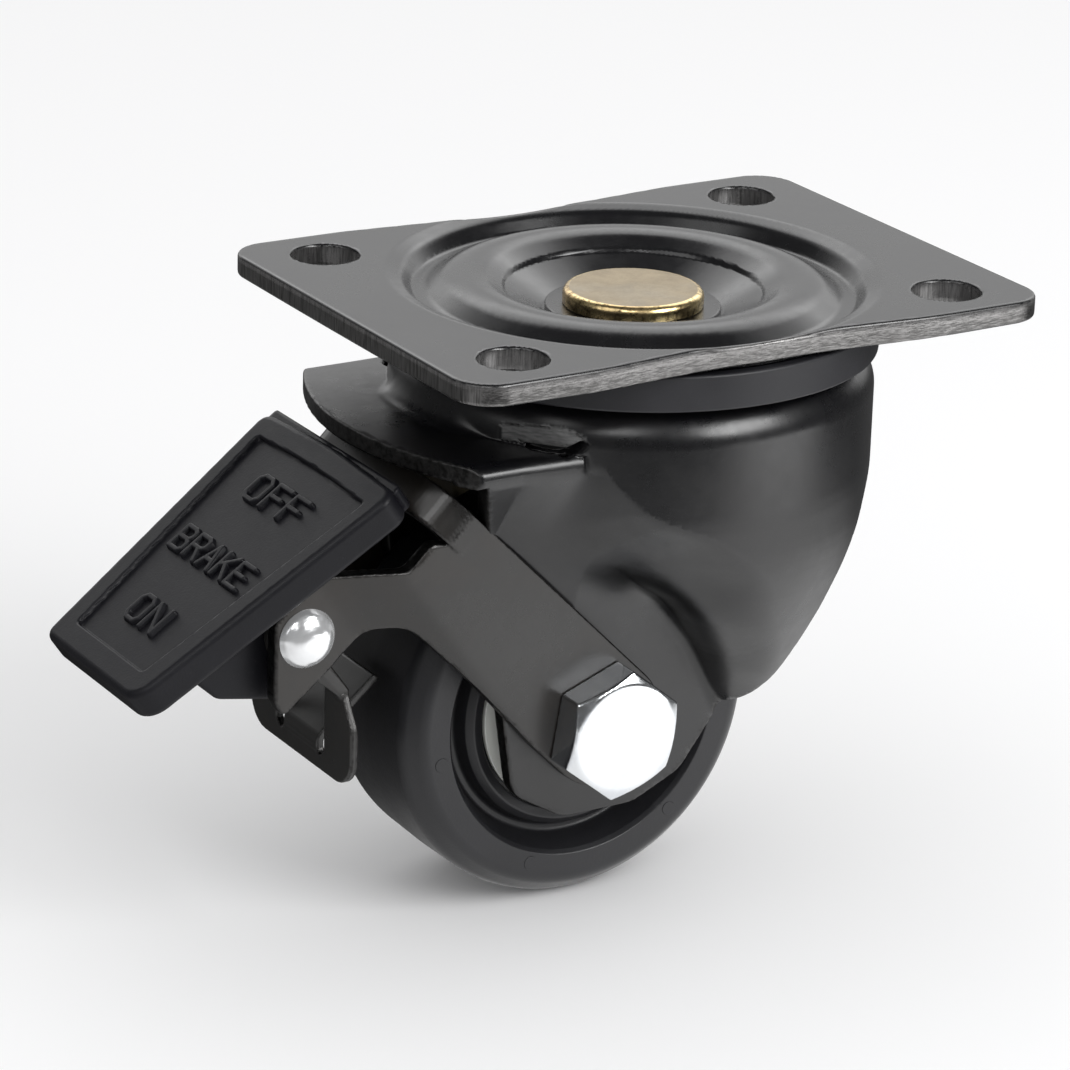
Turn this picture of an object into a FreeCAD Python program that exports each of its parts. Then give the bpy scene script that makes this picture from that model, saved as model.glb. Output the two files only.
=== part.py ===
import FreeCAD, Part
import math
import os
from FreeCAD import Vector as V

# Braked swivel castor. Millimetres.
# Origin: centre of the plate's top face. +Z up, +X along the plate's long side,
# the wheel trails towards -X and the brake pedal reaches out past it.

# ---------------------------------------------------------------- plate
PLATE_L = 106.0          # along X
PLATE_W = 81.0           # along Y at the ends
PLATE_T = 3.2            # sheet
PLATE_CORNER = 6.5
WAIST = 1.9              # how far the long edges draw in
HOLE_DX = 80.0           # hole to hole along X
HOLE_DY = 60.0           # hole to hole along Y
HOLE_R = 5.6
DISH_R = 40.0            # outer radius of the pressed centre
FLOOR_Z = -6.2           # top of the dish floor
TRACK_R = 26.5           # radius of the upper ball track
PIN_R = 6.0              # king pin shank
PIN_HEAD_R = 11.4
PIN_HEAD_TOP = -2.5
WASHER_R = 14.2
WASHER_T = 1.0

# ---------------------------------------------------------------- swivel head
SEAL_R = 39.7
SEAL_TOP = -4.6
SEAL_BOT = -10.5
UP_BALL_R = 3.97
UP_BALL_N = 20
UP_BALL_Z = -7.41
LOW_BALL_R = 3.175
LOW_BALL_N = 14
LOW_TRACK_R = 15.6
LOW_BALL_Z = -16.42

# ---------------------------------------------------------------- fork
SHEET = 3.0
CROWN_TOP = -10.8
CROWN_R = 39.3
SHOULDER = 6.0
HOOD_TOP = -17.7
HOOD_R = 52.8            # front edge, an arc about the swivel axis
HOOD_HALF = 30.5
LEG_OUT = 18.0           # outer face of each leg
LEG_IN = LEG_OUT - SHEET

# ---------------------------------------------------------------- wheel
AX_X = -15.4             # axle
AX_Z = -68.0
WHEEL_R = 32.5
WHEEL_HALF = 14.0
BRG_BORE = 6.0
BRG_OD_R = 14.0
BRG_W = 8.0
BRG_IN = 2.2             # inner face of each bearing, from the wheel's middle
BRG_BALL_R = 2.38
BRG_PITCH = 10.0
SPACER_R = 17.0
AXLE_R = 5.93
HEX_AF = 19.0
HEX_H = 6.1
HEX_TURN = 9.0           # degrees, a corner leans this far from the vertical

# ---------------------------------------------------------------- brake
BR_T = 2.8
BR_IN = 18.05            # inner face of the bracket's arms
BR_OUT = BR_IN + BR_T
ARM_HALF = 10.4
ARM_DIR = (-0.7071, 0.7071)
EAR_OUT = 16.5
EAR_IN = EAR_OUT - BR_T
WEB_OUT = 53.4           # outer face of the cross web, along the arm from the axle
WEB_BEND = 7.4
PIV_X = -67.5            # pedal pin
PIV_Z = -45.3
PIV_R = 3.0
PED_TOP = (-54.9, -21.7)     # middle of the pedal's upper edge, X and Z
PED_BOT = (-97.0, -50.5)     # middle of its lower edge
PED_HALF_TOP = 21.6
PED_HALF_BOT = 15.8
PED_T = 5.6
SHOE_T = 1.4


# ================================================================ helpers
def rounded_points(pts):
    """pts: (a, b, r). Returns a list of segments in the plane: ('l', p, q) or ('a', p, m, q)."""
    n = len(pts)
    corner = []
    for i in range(n):
        ax, ay = pts[i - 1][0], pts[i - 1][1]
        bx, by, r = pts[i]
        cx, cy = pts[(i + 1) % n][0], pts[(i + 1) % n][1]
        if r <= 0:
            corner.append(((bx, by), None, (bx, by)))
            continue
        ux, uy = ax - bx, ay - by
        vx, vy = cx - bx, cy - by
        lu, lv = math.hypot(ux, uy), math.hypot(vx, vy)
        ux, uy, vx, vy = ux / lu, uy / lu, vx / lv, vy / lv
        cosang = max(-1.0, min(1.0, ux * vx + uy * vy))
        half = math.acos(cosang) / 2.0
        t = r / math.tan(half)
        p = (bx + ux * t, by + uy * t)
        q = (bx + vx * t, by + vy * t)
        wx, wy = ux + vx, uy + vy
        lw = math.hypot(wx, wy)
        d = r / math.sin(half)
        c = (bx + wx / lw * d, by + wy / lw * d)
        m = (c[0] - wx / lw * r, c[1] - wy / lw * r)
        corner.append((p, m, q))
    segs = []
    for i in range(n):
        p, m, q = corner[i]
        if m is not None:
            segs.append(("a", p, m, q))
        nxt = corner[(i + 1) % n][0]
        if math.hypot(nxt[0] - q[0], nxt[1] - q[1]) > 1e-6:
            segs.append(("l", q, nxt))
    return segs


def face_of(pts, place):
    """A plane face from rounded points; place maps (a, b) to a 3-D point."""
    full = [(p[0], p[1], p[2] if len(p) > 2 else 0.0) for p in pts]
    edges = []
    for s in rounded_points(full):
        if s[0] == "l":
            edges.append(Part.LineSegment(place(*s[1]), place(*s[2])).toShape())
        else:
            edges.append(Part.Arc(place(*s[1]), place(*s[2]), place(*s[3])).toShape())
    return Part.Face(Part.Wire(edges))


def prism_xz(pts, y0, y1):
    f = face_of(pts, lambda a, b: V(a, y0, b))
    return f.extrude(V(0, y1 - y0, 0))


def prism_xy(pts, z0, z1):
    f = face_of(pts, lambda a, b: V(a, b, z0))
    return f.extrude(V(0, 0, z1 - z0))


def prism_yz(pts, x0, x1):
    f = face_of(pts, lambda a, b: V(x0, a, b))
    return f.extrude(V(x1 - x0, 0, 0))


def turned_z(pts):
    """Solid of revolution about the swivel axis from (radius, z) points."""
    f = face_of(pts, lambda a, b: V(a, 0, b))
    return f.revolve(V(0, 0, 0), V(0, 0, 1), 360)


def turned_axle(pts):
    """Solid of revolution about the axle from (radius, y) points."""
    f = face_of(pts, lambda a, b: V(AX_X + a, b, AX_Z))
    return f.revolve(V(AX_X, 0, AX_Z), V(0, 1, 0), 360)


def cyl_y(r, y0, y1, x, z):
    return Part.makeCylinder(r, y1 - y0, V(x, y0, z), V(0, 1, 0))


def cyl_z(r, z0, z1, x=0.0, y=0.0):
    return Part.makeCylinder(r, z1 - z0, V(x, y, z0), V(0, 0, 1))


def mirror_y(s):
    return s.mirror(V(0, 0, 0), V(0, 1, 0))


def hexagon_y(af, y0, y1, x, z, turn):
    r = af / math.sqrt(3.0)
    pts = []
    for k in range(6):
        a = math.radians(90 - turn + 60 * k)
        pts.append((x + r * math.cos(a), z + r * math.sin(a)))
    return prism_xz(pts, y0, y1)


def export(shape, name):
    if shape.ShapeType == "Compound" and len(shape.Solids) == 1:
        shape = shape.Solids[0]
    ok = shape.isValid()
    print(name, "solids", len(shape.Solids), "valid", ok, "vol %.1f" % shape.Volume)
    shape.exportStep("parts/%s.step" % name)
    return shape


# ================================================================ top plate
HX, HY = PLATE_L / 2, PLATE_W / 2
outline = [
    (-HX, -HY, PLATE_CORNER), (-31, -HY, 60), (-13, -HY + WAIST, 60), (13, -HY + WAIST, 60), (31, -HY, 60),
    (HX, -HY, PLATE_CORNER), (HX, HY, PLATE_CORNER),
    (31, HY, 60), (13, HY - WAIST, 60), (-13, HY - WAIST, 60), (-31, HY, 60), (-HX, HY, PLATE_CORNER),
]
flat = prism_xy(outline, -PLATE_T, 0)
flat = flat.cut(cyl_z(DISH_R, -10, 5))
dish_top = [(PIN_R + 0.06, FLOOR_Z), (18.6, FLOOR_Z, 0.8), (20.4, -4.6, 0.6), (21.4, -2.6, 1.2), (23.6, -0.55, 3.0),
            (26.5, -0.15, 8.0), (29.4, -0.6, 5.0), (33.4, -2.85, 2.0), (35.4, -2.95, 1.5), (37.6, -0.75, 2.0), (DISH_R, 0)]
dish_bot = [(DISH_R, -PLATE_T), (38.6, -3.9, 2.0), (35.9, -6.0, 2.0), (32.4, -6.0, 1.5), (29.6, -4.0, 1.5), (26.5, -3.25, 3.0),
            (23.2, -4.0, 1.5), (21.4, -8.2, 1.5), (19.6, FLOOR_Z - PLATE_T, 1.0), (PIN_R + 0.06, FLOOR_Z - PLATE_T)]
dish = turned_z(dish_top + dish_bot)
plate = flat.fuse(dish)
for sx in (-1, 1):
    for sy in (-1, 1):
        plate = plate.cut(cyl_z(HOLE_R, -12, 4, sx * HOLE_DX / 2, sy * HOLE_DY / 2))
# ball track in the underside
track = Part.makeTorus(TRACK_R, UP_BALL_R + 0.06, V(0, 0, UP_BALL_Z), V(0, 0, 1))
plate = plate.cut(track).removeSplitter()
export(plate, "top_plate")

# ================================================================ king pin, washer, collar, nut
NUT_TOP = -24.0
pin = turned_z([(0, PIN_HEAD_TOP), (PIN_HEAD_R, PIN_HEAD_TOP, 0.9), (PIN_HEAD_R, FLOOR_Z + WASHER_T, 0.3), (PIN_R, FLOOR_Z + WASHER_T),
                (PIN_R, -32.2), (PIN_R - 1.0, -33.2), (0, -33.2)])
export(pin, "king_pin")
washer = turned_z([(PIN_R + 0.2, FLOOR_Z + WASHER_T), (WASHER_R, FLOOR_Z + WASHER_T, 0.3), (WASHER_R, FLOOR_Z), (PIN_R + 0.2, FLOOR_Z)])
export(washer, "pin_washer")
COLLAR_TOP = FLOOR_Z - PLATE_T
COLLAR_BOT = -19.0
collar = turned_z([(PIN_R + 0.1, COLLAR_TOP), (9.6, COLLAR_TOP), (9.6, COLLAR_BOT), (PIN_R + 0.1, COLLAR_BOT)])
export(collar, "race_collar")
cup = turned_z([(PIN_R + 0.1, COLLAR_BOT), (19.4, COLLAR_BOT, 0.6), (20.2, -15.2), (22.4, -15.2), (22.0, -21.6, 2.0), (PIN_R + 0.1, -21.6)])
cup = cup.cut(Part.makeTorus(LOW_TRACK_R, LOW_BALL_R + 0.05, V(0, 0, LOW_BALL_Z), V(0, 0, 1)))
export(cup, "lower_cup")
nut_washer = turned_z([(PIN_R + 0.2, -21.6), (12.0, -21.6), (12.0, NUT_TOP + 0.4), (PIN_R + 0.2, NUT_TOP + 0.4)])
export(nut_washer, "king_nut_washer")
r_hex = HEX_AF / math.sqrt(3.0)
nut = prism_xy([(r_hex * math.cos(math.radians(60 * k)), r_hex * math.sin(math.radians(60 * k))) for k in range(6)], -31.4, NUT_TOP + 0.4)
nut = nut.common(turned_z([(0, NUT_TOP + 0.4), (9.4, NUT_TOP + 0.4), (r_hex + 0.2, NUT_TOP - 0.6), (r_hex + 0.2, -30.2), (9.4, -31.4), (0, -31.4)]))
nut = nut.cut(cyl_z(PIN_R + 0.05, -40, -10))
export(nut, "king_nut")

# ================================================================ dust seal
seal = turned_z([(37.7, SEAL_TOP), (SEAL_R, SEAL_TOP, 0.4), (SEAL_R, SEAL_BOT, 0.4), (37.7, SEAL_BOT), (37.7, -7.3, 0.4), (34.2, -7.3),
                 (34.2, -6.05), (37.7, -6.05)])
export(seal, "dust_seal")

# ================================================================ balls of the swivel head
balls = []
for k in range(UP_BALL_N):
    a = 2 * math.pi * (k + 0.5) / UP_BALL_N
    balls.append(Part.makeSphere(UP_BALL_R, V(TRACK_R * math.cos(a), TRACK_R * math.sin(a), UP_BALL_Z)))
export(Part.makeCompound(balls), "upper_balls")
balls = []
for k in range(LOW_BALL_N):
    a = 2 * math.pi * (k + 0.5) / LOW_BALL_N
    balls.append(Part.makeSphere(LOW_BALL_R, V(LOW_TRACK_R * math.cos(a), LOW_TRACK_R * math.sin(a), LOW_BALL_Z)))
export(Part.makeCompound(balls), "lower_balls")

# ================================================================ fork: one drawn sheet
WALL = [(39.3, -30.0, 40.0), (38.6, -38.4, 40.0), (36.9, -44.6, 40.0), (34.7, -51.0, 40.0), (32.4, -56.7, 40.0), (30.5, -61.0, 40.0),
        (28.5, -65.0, 30.0), (26.0, -71.0, 0.0)]
outer_rev = turned_z([(0, CROWN_TOP), (CROWN_R, CROWN_TOP, SHOULDER)] + WALL + [(0, -71.0)])
inner_rev = turned_z([(0, CROWN_TOP - SHEET), (CROWN_R - SHEET, CROWN_TOP - SHEET, SHOULDER - SHEET)]
                     + [(r - SHEET, z, b) for r, z, b in WALL] + [(20.0, -80.0), (0, -80.0)])
# side view of the drawn cup: rear edge of the wings, and the crease where the flat legs begin
REAR = [(45, -25.5, 0.0), (34.5, -28.5, 8.0), (29.2, -33.0, 10.0), (26.8, -38.4, 30.0), (23.7, -44.6, 30.0), (20.0, -51.0, 30.0), (16.2, -56.7, 30.0),
        (13.0, -61.0, 30.0), (9.5, -65.5, 2.0)]
CREASE = [(6.5, -67.2, 0.0), (1.5, -57.5, 20.0), (-4.0, -49.5, 20.0), (-10.5, -42.0, 20.0), (-17.5, -34.5, 20.0), (-22.0, -27.0, 20.0), (-25.5, -19.5, 0.0)]
side_cup = [(-45, -5), (45, -5)] + REAR + CREASE + [(-26.0, -18.0), (-45, -18.0)]
cup_part = outer_rev.common(prism_xz(side_cup, -50, 50))
# hood and legs
leg_yz = [(-HOOD_HALF, HOOD_TOP, 3.2), (HOOD_HALF, HOOD_TOP, 3.2), (LEG_OUT, -29.2, 4.0), (LEG_OUT, -90), (-LEG_OUT, -90), (-LEG_OUT, -29.2, 4.0)]
leg_yz_in = [(-22.8, HOOD_TOP - SHEET, 1.0), (22.8, HOOD_TOP - SHEET, 1.0), (LEG_IN, -27.9, 6.5), (LEG_IN, -90), (-LEG_IN, -90), (-LEG_IN, -27.9, 6.5)]
leg_xz = [(-60, -17.0), (-24.0, -17.0), (-22.5, -26.5), (-16.5, -34.5), (-9.5, -42.0), (-3.0, -49.5), (2.5, -57.5), (7.6, -66.5),
          (7.6, -69.5, 3.0), (1.0, -80.0, 6.0), (-8.0, -84.2, 8.0), (-21.0, -84.2, 8.0), (-30.6, -78.5, 5.0), (-32.4, -67.0, 10.0),
          (-35.0, -50.0, 10.0), (-37.8, -32.0, 4.0), (-42.8, -21.0, 0.0), (-60, -21.0)]
legs = prism_yz(leg_yz, -56, 12).common(prism_xz(leg_xz, -40, 40)).common(cyl_z(HOOD_R, -95, 0))
fork = cup_part.fuse(legs)
crease_in = [(9.7, -70.0)] + [(x + 3.2, z, b) for x, z, b in CREASE]
cav_side = [(-45, -5), (60, -5), (60, -90), (9.7, -90)] + crease_in + [(-22.3, -17.9), (-45, -17.9)]
cav1 = inner_rev.common(prism_xz(cav_side, -50, 50))
cav2 = prism_yz(leg_yz_in, -70, 10)
# the step between crown and hood stays closed
cav3 = cyl_z(CROWN_R - SHEET, -22.0, CROWN_TOP - SHEET - 2.0).common(prism_xy([(-50, -24), (10, -24), (10, 24), (-50, 24)], -23, -10))
cav4 = prism_xz([(5, -30), (60, -30), (60, -95), (5, -95)], -LEG_IN, LEG_IN)
fork = fork.cut(cav1).cut(cav2).cut(cav3).cut(cav4)
# king pin opening and the two ball tracks
fork = fork.cut(cyl_z(12.2, -30, 0))
fork = fork.cut(Part.makeTorus(TRACK_R, UP_BALL_R + 0.06, V(0, 0, UP_BALL_Z), V(0, 0, 1)))
fork = fork.cut(Part.makeTorus(LOW_TRACK_R, LOW_BALL_R + 0.05, V(0, 0, LOW_BALL_Z), V(0, 0, 1)))
fork = fork.cut(cyl_y(AXLE_R + 0.09, -40, 40, AX_X, AX_Z))
# relief slit between the crown's skirt and the bent hood, one on each side
slit = prism_xz([(-37.0, -16.2), (-26.5, -15.6), (-26.0, -16.1), (-27.5, -17.6), (-37.0, -18.4)], -34, -20.5)
fork = fork.cut(slit).cut(mirror_y(slit))
fork = fork.removeSplitter()
export(fork, "fork")

# ================================================================ wheel, one moulding
half = [(BRG_OD_R, 0.0), (BRG_OD_R, BRG_IN + BRG_W + 0.05), (17.6, BRG_IN + BRG_W + 0.05), (17.6, 11.6, 0.5), (19.2, 12.0, 0.5), (20.4, 11.0, 0.5),
        (21.2, 8.6, 0.8), (22.6, 8.6, 0.8), (24.2, 13.2, 0.8), (24.8, WHEEL_HALF, 0.3), (29.4, WHEEL_HALF, 2.5), (WHEEL_R, 10.8, 3.2), (WHEEL_R, 0.0)]
section = [(r, y) if len(p) == 2 else (r, y, p[2]) for p in half for r, y in [(p[0], p[1])]]
other = [((p[0], -p[1]) if len(p) == 2 else (p[0], -p[1], p[2])) for p in reversed(half[1:-1])]
wheel = turned_axle(section + other)
# bearing seats stop against a middle rib
wheel = wheel.fuse(turned_axle([(11.6, -BRG_IN + 0.03), (BRG_OD_R + 0.5, -BRG_IN + 0.03), (BRG_OD_R + 0.5, BRG_IN - 0.03), (11.6, BRG_IN - 0.03)]))
for sy in (-1, 1):
    for k in range(6):
        a = math.radians(9.7 + 60 * k)
        x, z = AX_X + 26.6 * math.cos(a), AX_Z + 26.6 * math.sin(a)
        ring = cyl_y(1.15, 13.8, 14.5, x, z).cut(cyl_y(0.95, 13.7, 14.6, x, z))
        wheel = wheel.cut(ring if sy > 0 else mirror_y(ring))
wheel = wheel.removeSplitter()
export(wheel, "wheel")

# ================================================================ wheel bearings, sleeve, spacers
y0, y1 = BRG_IN, BRG_IN + BRG_W
mid = (y0 + y1) / 2
groove = Part.makeTorus(BRG_PITCH, BRG_BALL_R + 0.04, V(AX_X, mid, AX_Z), V(0, 1, 0))
outer = turned_axle([(12.0, y0), (BRG_OD_R, y0), (BRG_OD_R, y1), (12.0, y1)]).cut(groove)
inner = turned_axle([(BRG_BORE, y0), (8.3, y0), (8.3, y1), (BRG_BORE, y1)]).cut(groove)
cage = cyl_y(10.8, mid - 3.1, mid + 3.1, AX_X, AX_Z).cut(cyl_y(9.4, mid - 4, mid + 4, AX_X, AX_Z))
group = []
for k in range(8):
    a = math.radians(45 * k + 11)
    out = V(math.cos(a), 0, math.sin(a))
    c = V(AX_X, mid, AX_Z) + out * BRG_PITCH
    group.append(Part.makeSphere(BRG_BALL_R, c))
    cage = cage.cut(Part.makeCylinder(BRG_BALL_R + 0.15, 5.0, c - out * 2.5, out))
balls = Part.makeCompound(group)
spacer = turned_axle([(BRG_BORE + 0.05, y1), (8.2, y1), (8.2, y1 + 0.35), (SPACER_R, y1 + 0.35), (SPACER_R, y1 + 1.35), (9.2, y1 + 1.35),
                      (9.2, LEG_IN - 0.02), (BRG_BORE + 0.05, LEG_IN - 0.02)])
for solid, name in ((outer, "bearing_outer_"), (inner, "bearing_inner_"), (balls, "bearing_balls_"), (cage, "bearing_cage_"), (spacer, "hub_spacer_")):
    export(solid, name + "far")
    export(mirror_y(solid), name + "near")
sleeve = turned_axle([(BRG_BORE + 0.05, -BRG_IN), (8.0, -BRG_IN), (8.0, BRG_IN), (BRG_BORE + 0.05, BRG_IN)])
export(sleeve, "axle_sleeve")

# ================================================================ axle bolt, nut, washer
head_y = -BR_OUT - HEX_H
head = hexagon_y(HEX_AF, head_y, -BR_OUT, AX_X, AX_Z, HEX_TURN)
head = head.common(turned_axle([(0, head_y), (9.05, head_y), (r_hex + 0.3, head_y + 1.25), (r_hex + 0.3, -BR_OUT), (0, -BR_OUT)]))
shank = turned_axle([(0, -BR_OUT - 1.0), (AXLE_R, -BR_OUT - 1.0), (AXLE_R, 30.6), (AXLE_R - 0.9, 31.5), (0, 31.5)])
export(head.fuse(shank).removeSplitter(), "axle_bolt")
wz = turned_axle([(AXLE_R + 0.25, BR_OUT), (11.8, BR_OUT), (11.8, BR_OUT + 1.8), (AXLE_R + 0.25, BR_OUT + 1.8)])
export(wz, "axle_washer")
n0, n1 = BR_OUT + 1.8, BR_OUT + 9.6
an = hexagon_y(HEX_AF, n0, n1, AX_X, AX_Z, 21.0)
an = an.common(turned_axle([(0, n0), (9.4, n0), (r_hex + 0.3, n0 + 1.1), (r_hex + 0.3, n1 - 1.4), (9.2, n1), (0, n1)]))
an = an.cut(cyl_y(AXLE_R + 0.05, n0 - 1, n1 + 1, AX_X, AX_Z))
export(an, "axle_nut")


# ================================================================ brake bracket, one folded sheet
def on_arm(t, d):
    """Point in the side view: t along the arm from the axle, d across it (up and to the right)."""
    return (AX_X + ARM_DIR[0] * t + 0.7071 * d, AX_Z + ARM_DIR[1] * t + 0.7071 * d)


# side outline of arm and ear
side_out = [on_arm(0, ARM_HALF) + (0.0,), on_arm(46.2, ARM_HALF) + (0.0,), on_arm(46.2, 4.2) + (0.0,),
            on_arm(48.6, 2.6) + (1.6,), on_arm(48.6, -3.0) + (2.4,), on_arm(53.0, -7.2) + (5.0,), (-64.4, -35.7, 2.0),
            (-71.6, -40.6, 3.0), (-73.0, -42.2, 1.0), (-73.0, -55.0, 2.0), (-71.6, -58.0, 1.2), (-64.0, -51.8, 2.0), (-57.5, -45.6, 5.0), (-51.0, -45.6, 6.0),
            (-46.2, -50.2, 3.0), on_arm(24, -9.3) + (20.0,), on_arm(8, -ARM_HALF) + (0.0,), on_arm(0, -ARM_HALF) + (0.0,)]
blank = prism_xz(side_out, -24, -10).fuse(cyl_y(ARM_HALF, -24, -10, AX_X, AX_Z))
# jog of the sheet from the arm's plane in to the ear's, across two parallel bend lines
jn = (0.8192, 0.5736)      # across the bend lines, in X and Z
s_arm, s_ear = -63.6, -73.6


def jog_point(s, y):
    return V(jn[0] * s - (-jn[1]) * 0, y, jn[1] * s)


def jog_solid(sgn):
    prof = [(40, BR_IN), (s_arm, BR_IN), (s_ear, EAR_IN), (-140, EAR_IN), (-140, EAR_OUT), (s_ear, EAR_OUT), (s_arm, BR_OUT), (40, BR_OUT)]
    u = V(jn[1], 0, -jn[0])
    pts = [V(jn[0] * s, sgn * y, jn[1] * s) - u * 150 for s, y in prof]
    w = Part.makePolygon(pts + [pts[0]])
    return Part.Face(w).extrude(u * 300)


near = blank.common(jog_solid(-1))
far = mirror_y(near)
# cross web: a U in the plane of the arm's length and Y, as deep as the strip above the slot
BR_X0, BR_X1 = 40.0, WEB_OUT


def web_place(t, y, d):
    x, z = on_arm(t, d)
    return V(x, y, z)


u_pts = [(BR_X0, -BR_OUT, 0), (BR_X1, -BR_OUT, WEB_BEND), (BR_X1, BR_OUT, WEB_BEND), (BR_X0, BR_OUT, 0), (BR_X0, BR_IN, 0),
         (BR_X1 - BR_T, BR_IN, WEB_BEND - BR_T), (BR_X1 - BR_T, -BR_IN, WEB_BEND - BR_T), (BR_X0, -BR_IN, 0)]
web = face_of(u_pts, lambda t, y: web_place(t, y, 4.2)).extrude(V(0.7071, 0, 0.7071) * (ARM_HALF - 4.2))
bracket = near.fuse(far).fuse(web)
bracket = bracket.cut(cyl_y(AXLE_R + 0.07, -40, 40, AX_X, AX_Z)).cut(cyl_y(PIV_R + 0.05, -40, 40, PIV_X, PIV_Z)).removeSplitter()
export(bracket, "brake_bracket")

# ================================================================ pedal pin, a domed rivet
dome = [(0, -EAR_OUT - 2.6), (1.6, -EAR_OUT - 2.45), (3.1, -EAR_OUT - 1.95), (4.2, -EAR_OUT - 1.1), (4.85, -EAR_OUT - 0.02), (PIV_R, -EAR_OUT - 0.02),
        (PIV_R, EAR_OUT + 0.02), (4.3, EAR_OUT + 0.02), (4.0, EAR_OUT + 0.8), (2.4, EAR_OUT + 1.3), (0, EAR_OUT + 1.4)]
f = Part.Face(Part.makePolygon([V(PIV_X + a, b, PIV_Z) for a, b in dome] + [V(PIV_X + dome[0][0], dome[0][1], PIV_Z)]))
rivet = f.revolve(V(PIV_X, 0, PIV_Z), V(0, 1, 0), 360)
export(rivet, "pedal_pin")

# ================================================================ pedal
ex, ez = PED_BOT[0] - PED_TOP[0], PED_BOT[1] - PED_TOP[1]
PL = math.hypot(ex, ez)
ex, ez = ex / PL, ez / PL            # down the pedal
nx, nz = ez, -ex                     # out of its face (up and forward)


def ped(s, y, n):
    return V(PED_TOP[0] + ex * s + nx * n, y, PED_TOP[1] + ez * s + nz * n)


def ped_prism(pts, n0, n1):
    fc = face_of(pts, lambda a, b: ped(a, b, n0))
    return fc.extrude(V(nx, 0, nz) * (n1 - n0))


slab = ped_prism([(0, -PED_HALF_TOP, 3.0), (PL, -PED_HALF_BOT, 5.0), (PL, PED_HALF_BOT, 5.0), (0, PED_HALF_TOP, 3.0)], -PED_T, 0)
ledge = ped_prism([(-1.6, -PED_HALF_TOP - 0.6, 0.8), (9.0, -PED_HALF_TOP - 0.2, 0.5), (9.0, PED_HALF_TOP + 0.2, 0.5), (-1.6, PED_HALF_TOP + 0.6, 0.8)], -PED_T, -1.5)
pedal = slab.fuse(ledge)
panel = ped_prism([(4.2, -PED_HALF_TOP + 4.0, 0.8), (PL - 4.6, -PED_HALF_BOT + 4.2, 0.8), (PL - 4.6, PED_HALF_BOT - 4.2, 0.8), (4.2, PED_HALF_TOP - 4.0, 0.8)], -0.8, 1.0)
pedal = pedal.cut(panel)
# hub and cam under the pedal, between the shoe's cheeks
HUB = 11.6
hub_pts = [(-58.5, -28.5), (-61.5, -38.5, 2.0), (-61.0, -47.0, 5.0), (-66.5, -54.0, 4.0), (-68.4, -60.0, 1.5), (-80.8, -57.4, 3.0), (-88.5, -47.0), (-86.0, -45.0)]
hub = prism_xz(hub_pts, -HUB, HUB)
pedal = pedal.fuse(hub).cut(cyl_y(PIV_R + 0.06, -40, 40, PIV_X, PIV_Z)).removeSplitter()
export(pedal, "brake_pedal")

# ================================================================ brake shoe, one folded sheet
SX = -59.8                # outer face of the front plate
WIN = 8.0
plate_yz = [(-14.0, -57.0, 0.0), (14.0, -57.0, 0.0), (16.9, -63.0, 5.0), (16.9, -72.4, 5.5), (-16.9, -72.4, 5.5), (-16.9, -63.0, 5.0)]
shoe = prism_yz(plate_yz, SX, SX + SHOE_T)
# upper part leans towards the pin
lean = prism_xz([(SX, -57.2), (SX + SHOE_T, -57.0), (-62.6, -51.8), (-63.8, -52.8)], -13.4, 13.4)
shoe = shoe.fuse(lean)
window = prism_yz([(-WIN, -49.0, 0), (WIN, -49.0, 0), (WIN, -68.9, 0.5), (-WIN, -68.9, 0.5)], SX - 12, SX + 6)
shoe = shoe.cut(window)
# cheeks round the pin, just inside the ears
cheek_pts = [(-62.2, -51.0), (-60.2, -54.0, 0.0), (SX + SHOE_T, -56.8), (SX, -57.6), (-64.5, -53.8, 1.0), (-71.2, -50.8, 4.0), (-73.2, -45.2, 5.0), (-69.8, -39.8, 4.5), (-63.2, -40.2, 4.0), (-60.8, -46.0, 3.0)]
cheek = prism_xz(cheek_pts, -13.4, -12.0)
shoe = shoe.fuse(cheek).fuse(mirror_y(cheek))
# bent tongue, rising from the window's lower edge towards the tread
tongue = prism_xz([(SX, -68.9), (SX + SHOE_T, -68.9), (SX + SHOE_T, -67.6, 1.0), (-47.7, -58.9), (-48.6, -57.9), (SX, -66.6, 2.4)], -WIN + 0.7, WIN - 0.7)
shoe = shoe.fuse(tongue).cut(cyl_y(PIV_R + 0.06, -40, 40, PIV_X, PIV_Z)).removeSplitter()
export(shoe, "brake_shoe")
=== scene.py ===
import math

import bpy
import numpy as np
from mathutils import Matrix, Vector


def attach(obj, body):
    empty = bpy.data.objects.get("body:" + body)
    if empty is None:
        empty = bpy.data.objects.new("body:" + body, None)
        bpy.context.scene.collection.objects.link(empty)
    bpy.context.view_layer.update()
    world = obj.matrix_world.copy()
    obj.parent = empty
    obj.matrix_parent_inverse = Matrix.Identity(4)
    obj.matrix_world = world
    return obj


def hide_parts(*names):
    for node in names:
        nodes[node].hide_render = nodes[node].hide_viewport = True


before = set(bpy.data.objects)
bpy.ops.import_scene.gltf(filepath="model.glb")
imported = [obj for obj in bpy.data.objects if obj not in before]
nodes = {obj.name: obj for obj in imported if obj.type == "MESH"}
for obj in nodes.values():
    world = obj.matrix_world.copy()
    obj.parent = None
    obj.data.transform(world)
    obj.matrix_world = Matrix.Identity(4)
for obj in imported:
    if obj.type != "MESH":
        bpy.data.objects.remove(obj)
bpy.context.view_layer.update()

MM = 0.001

# =====================================================================================
# dimensions, millimetres, the same as the frame's
# =====================================================================================
AX_X, AX_Z = -15.4, -68.0
PIV_X, PIV_Z = -67.5, -45.3
FLOOR_Z = -100.5


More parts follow.
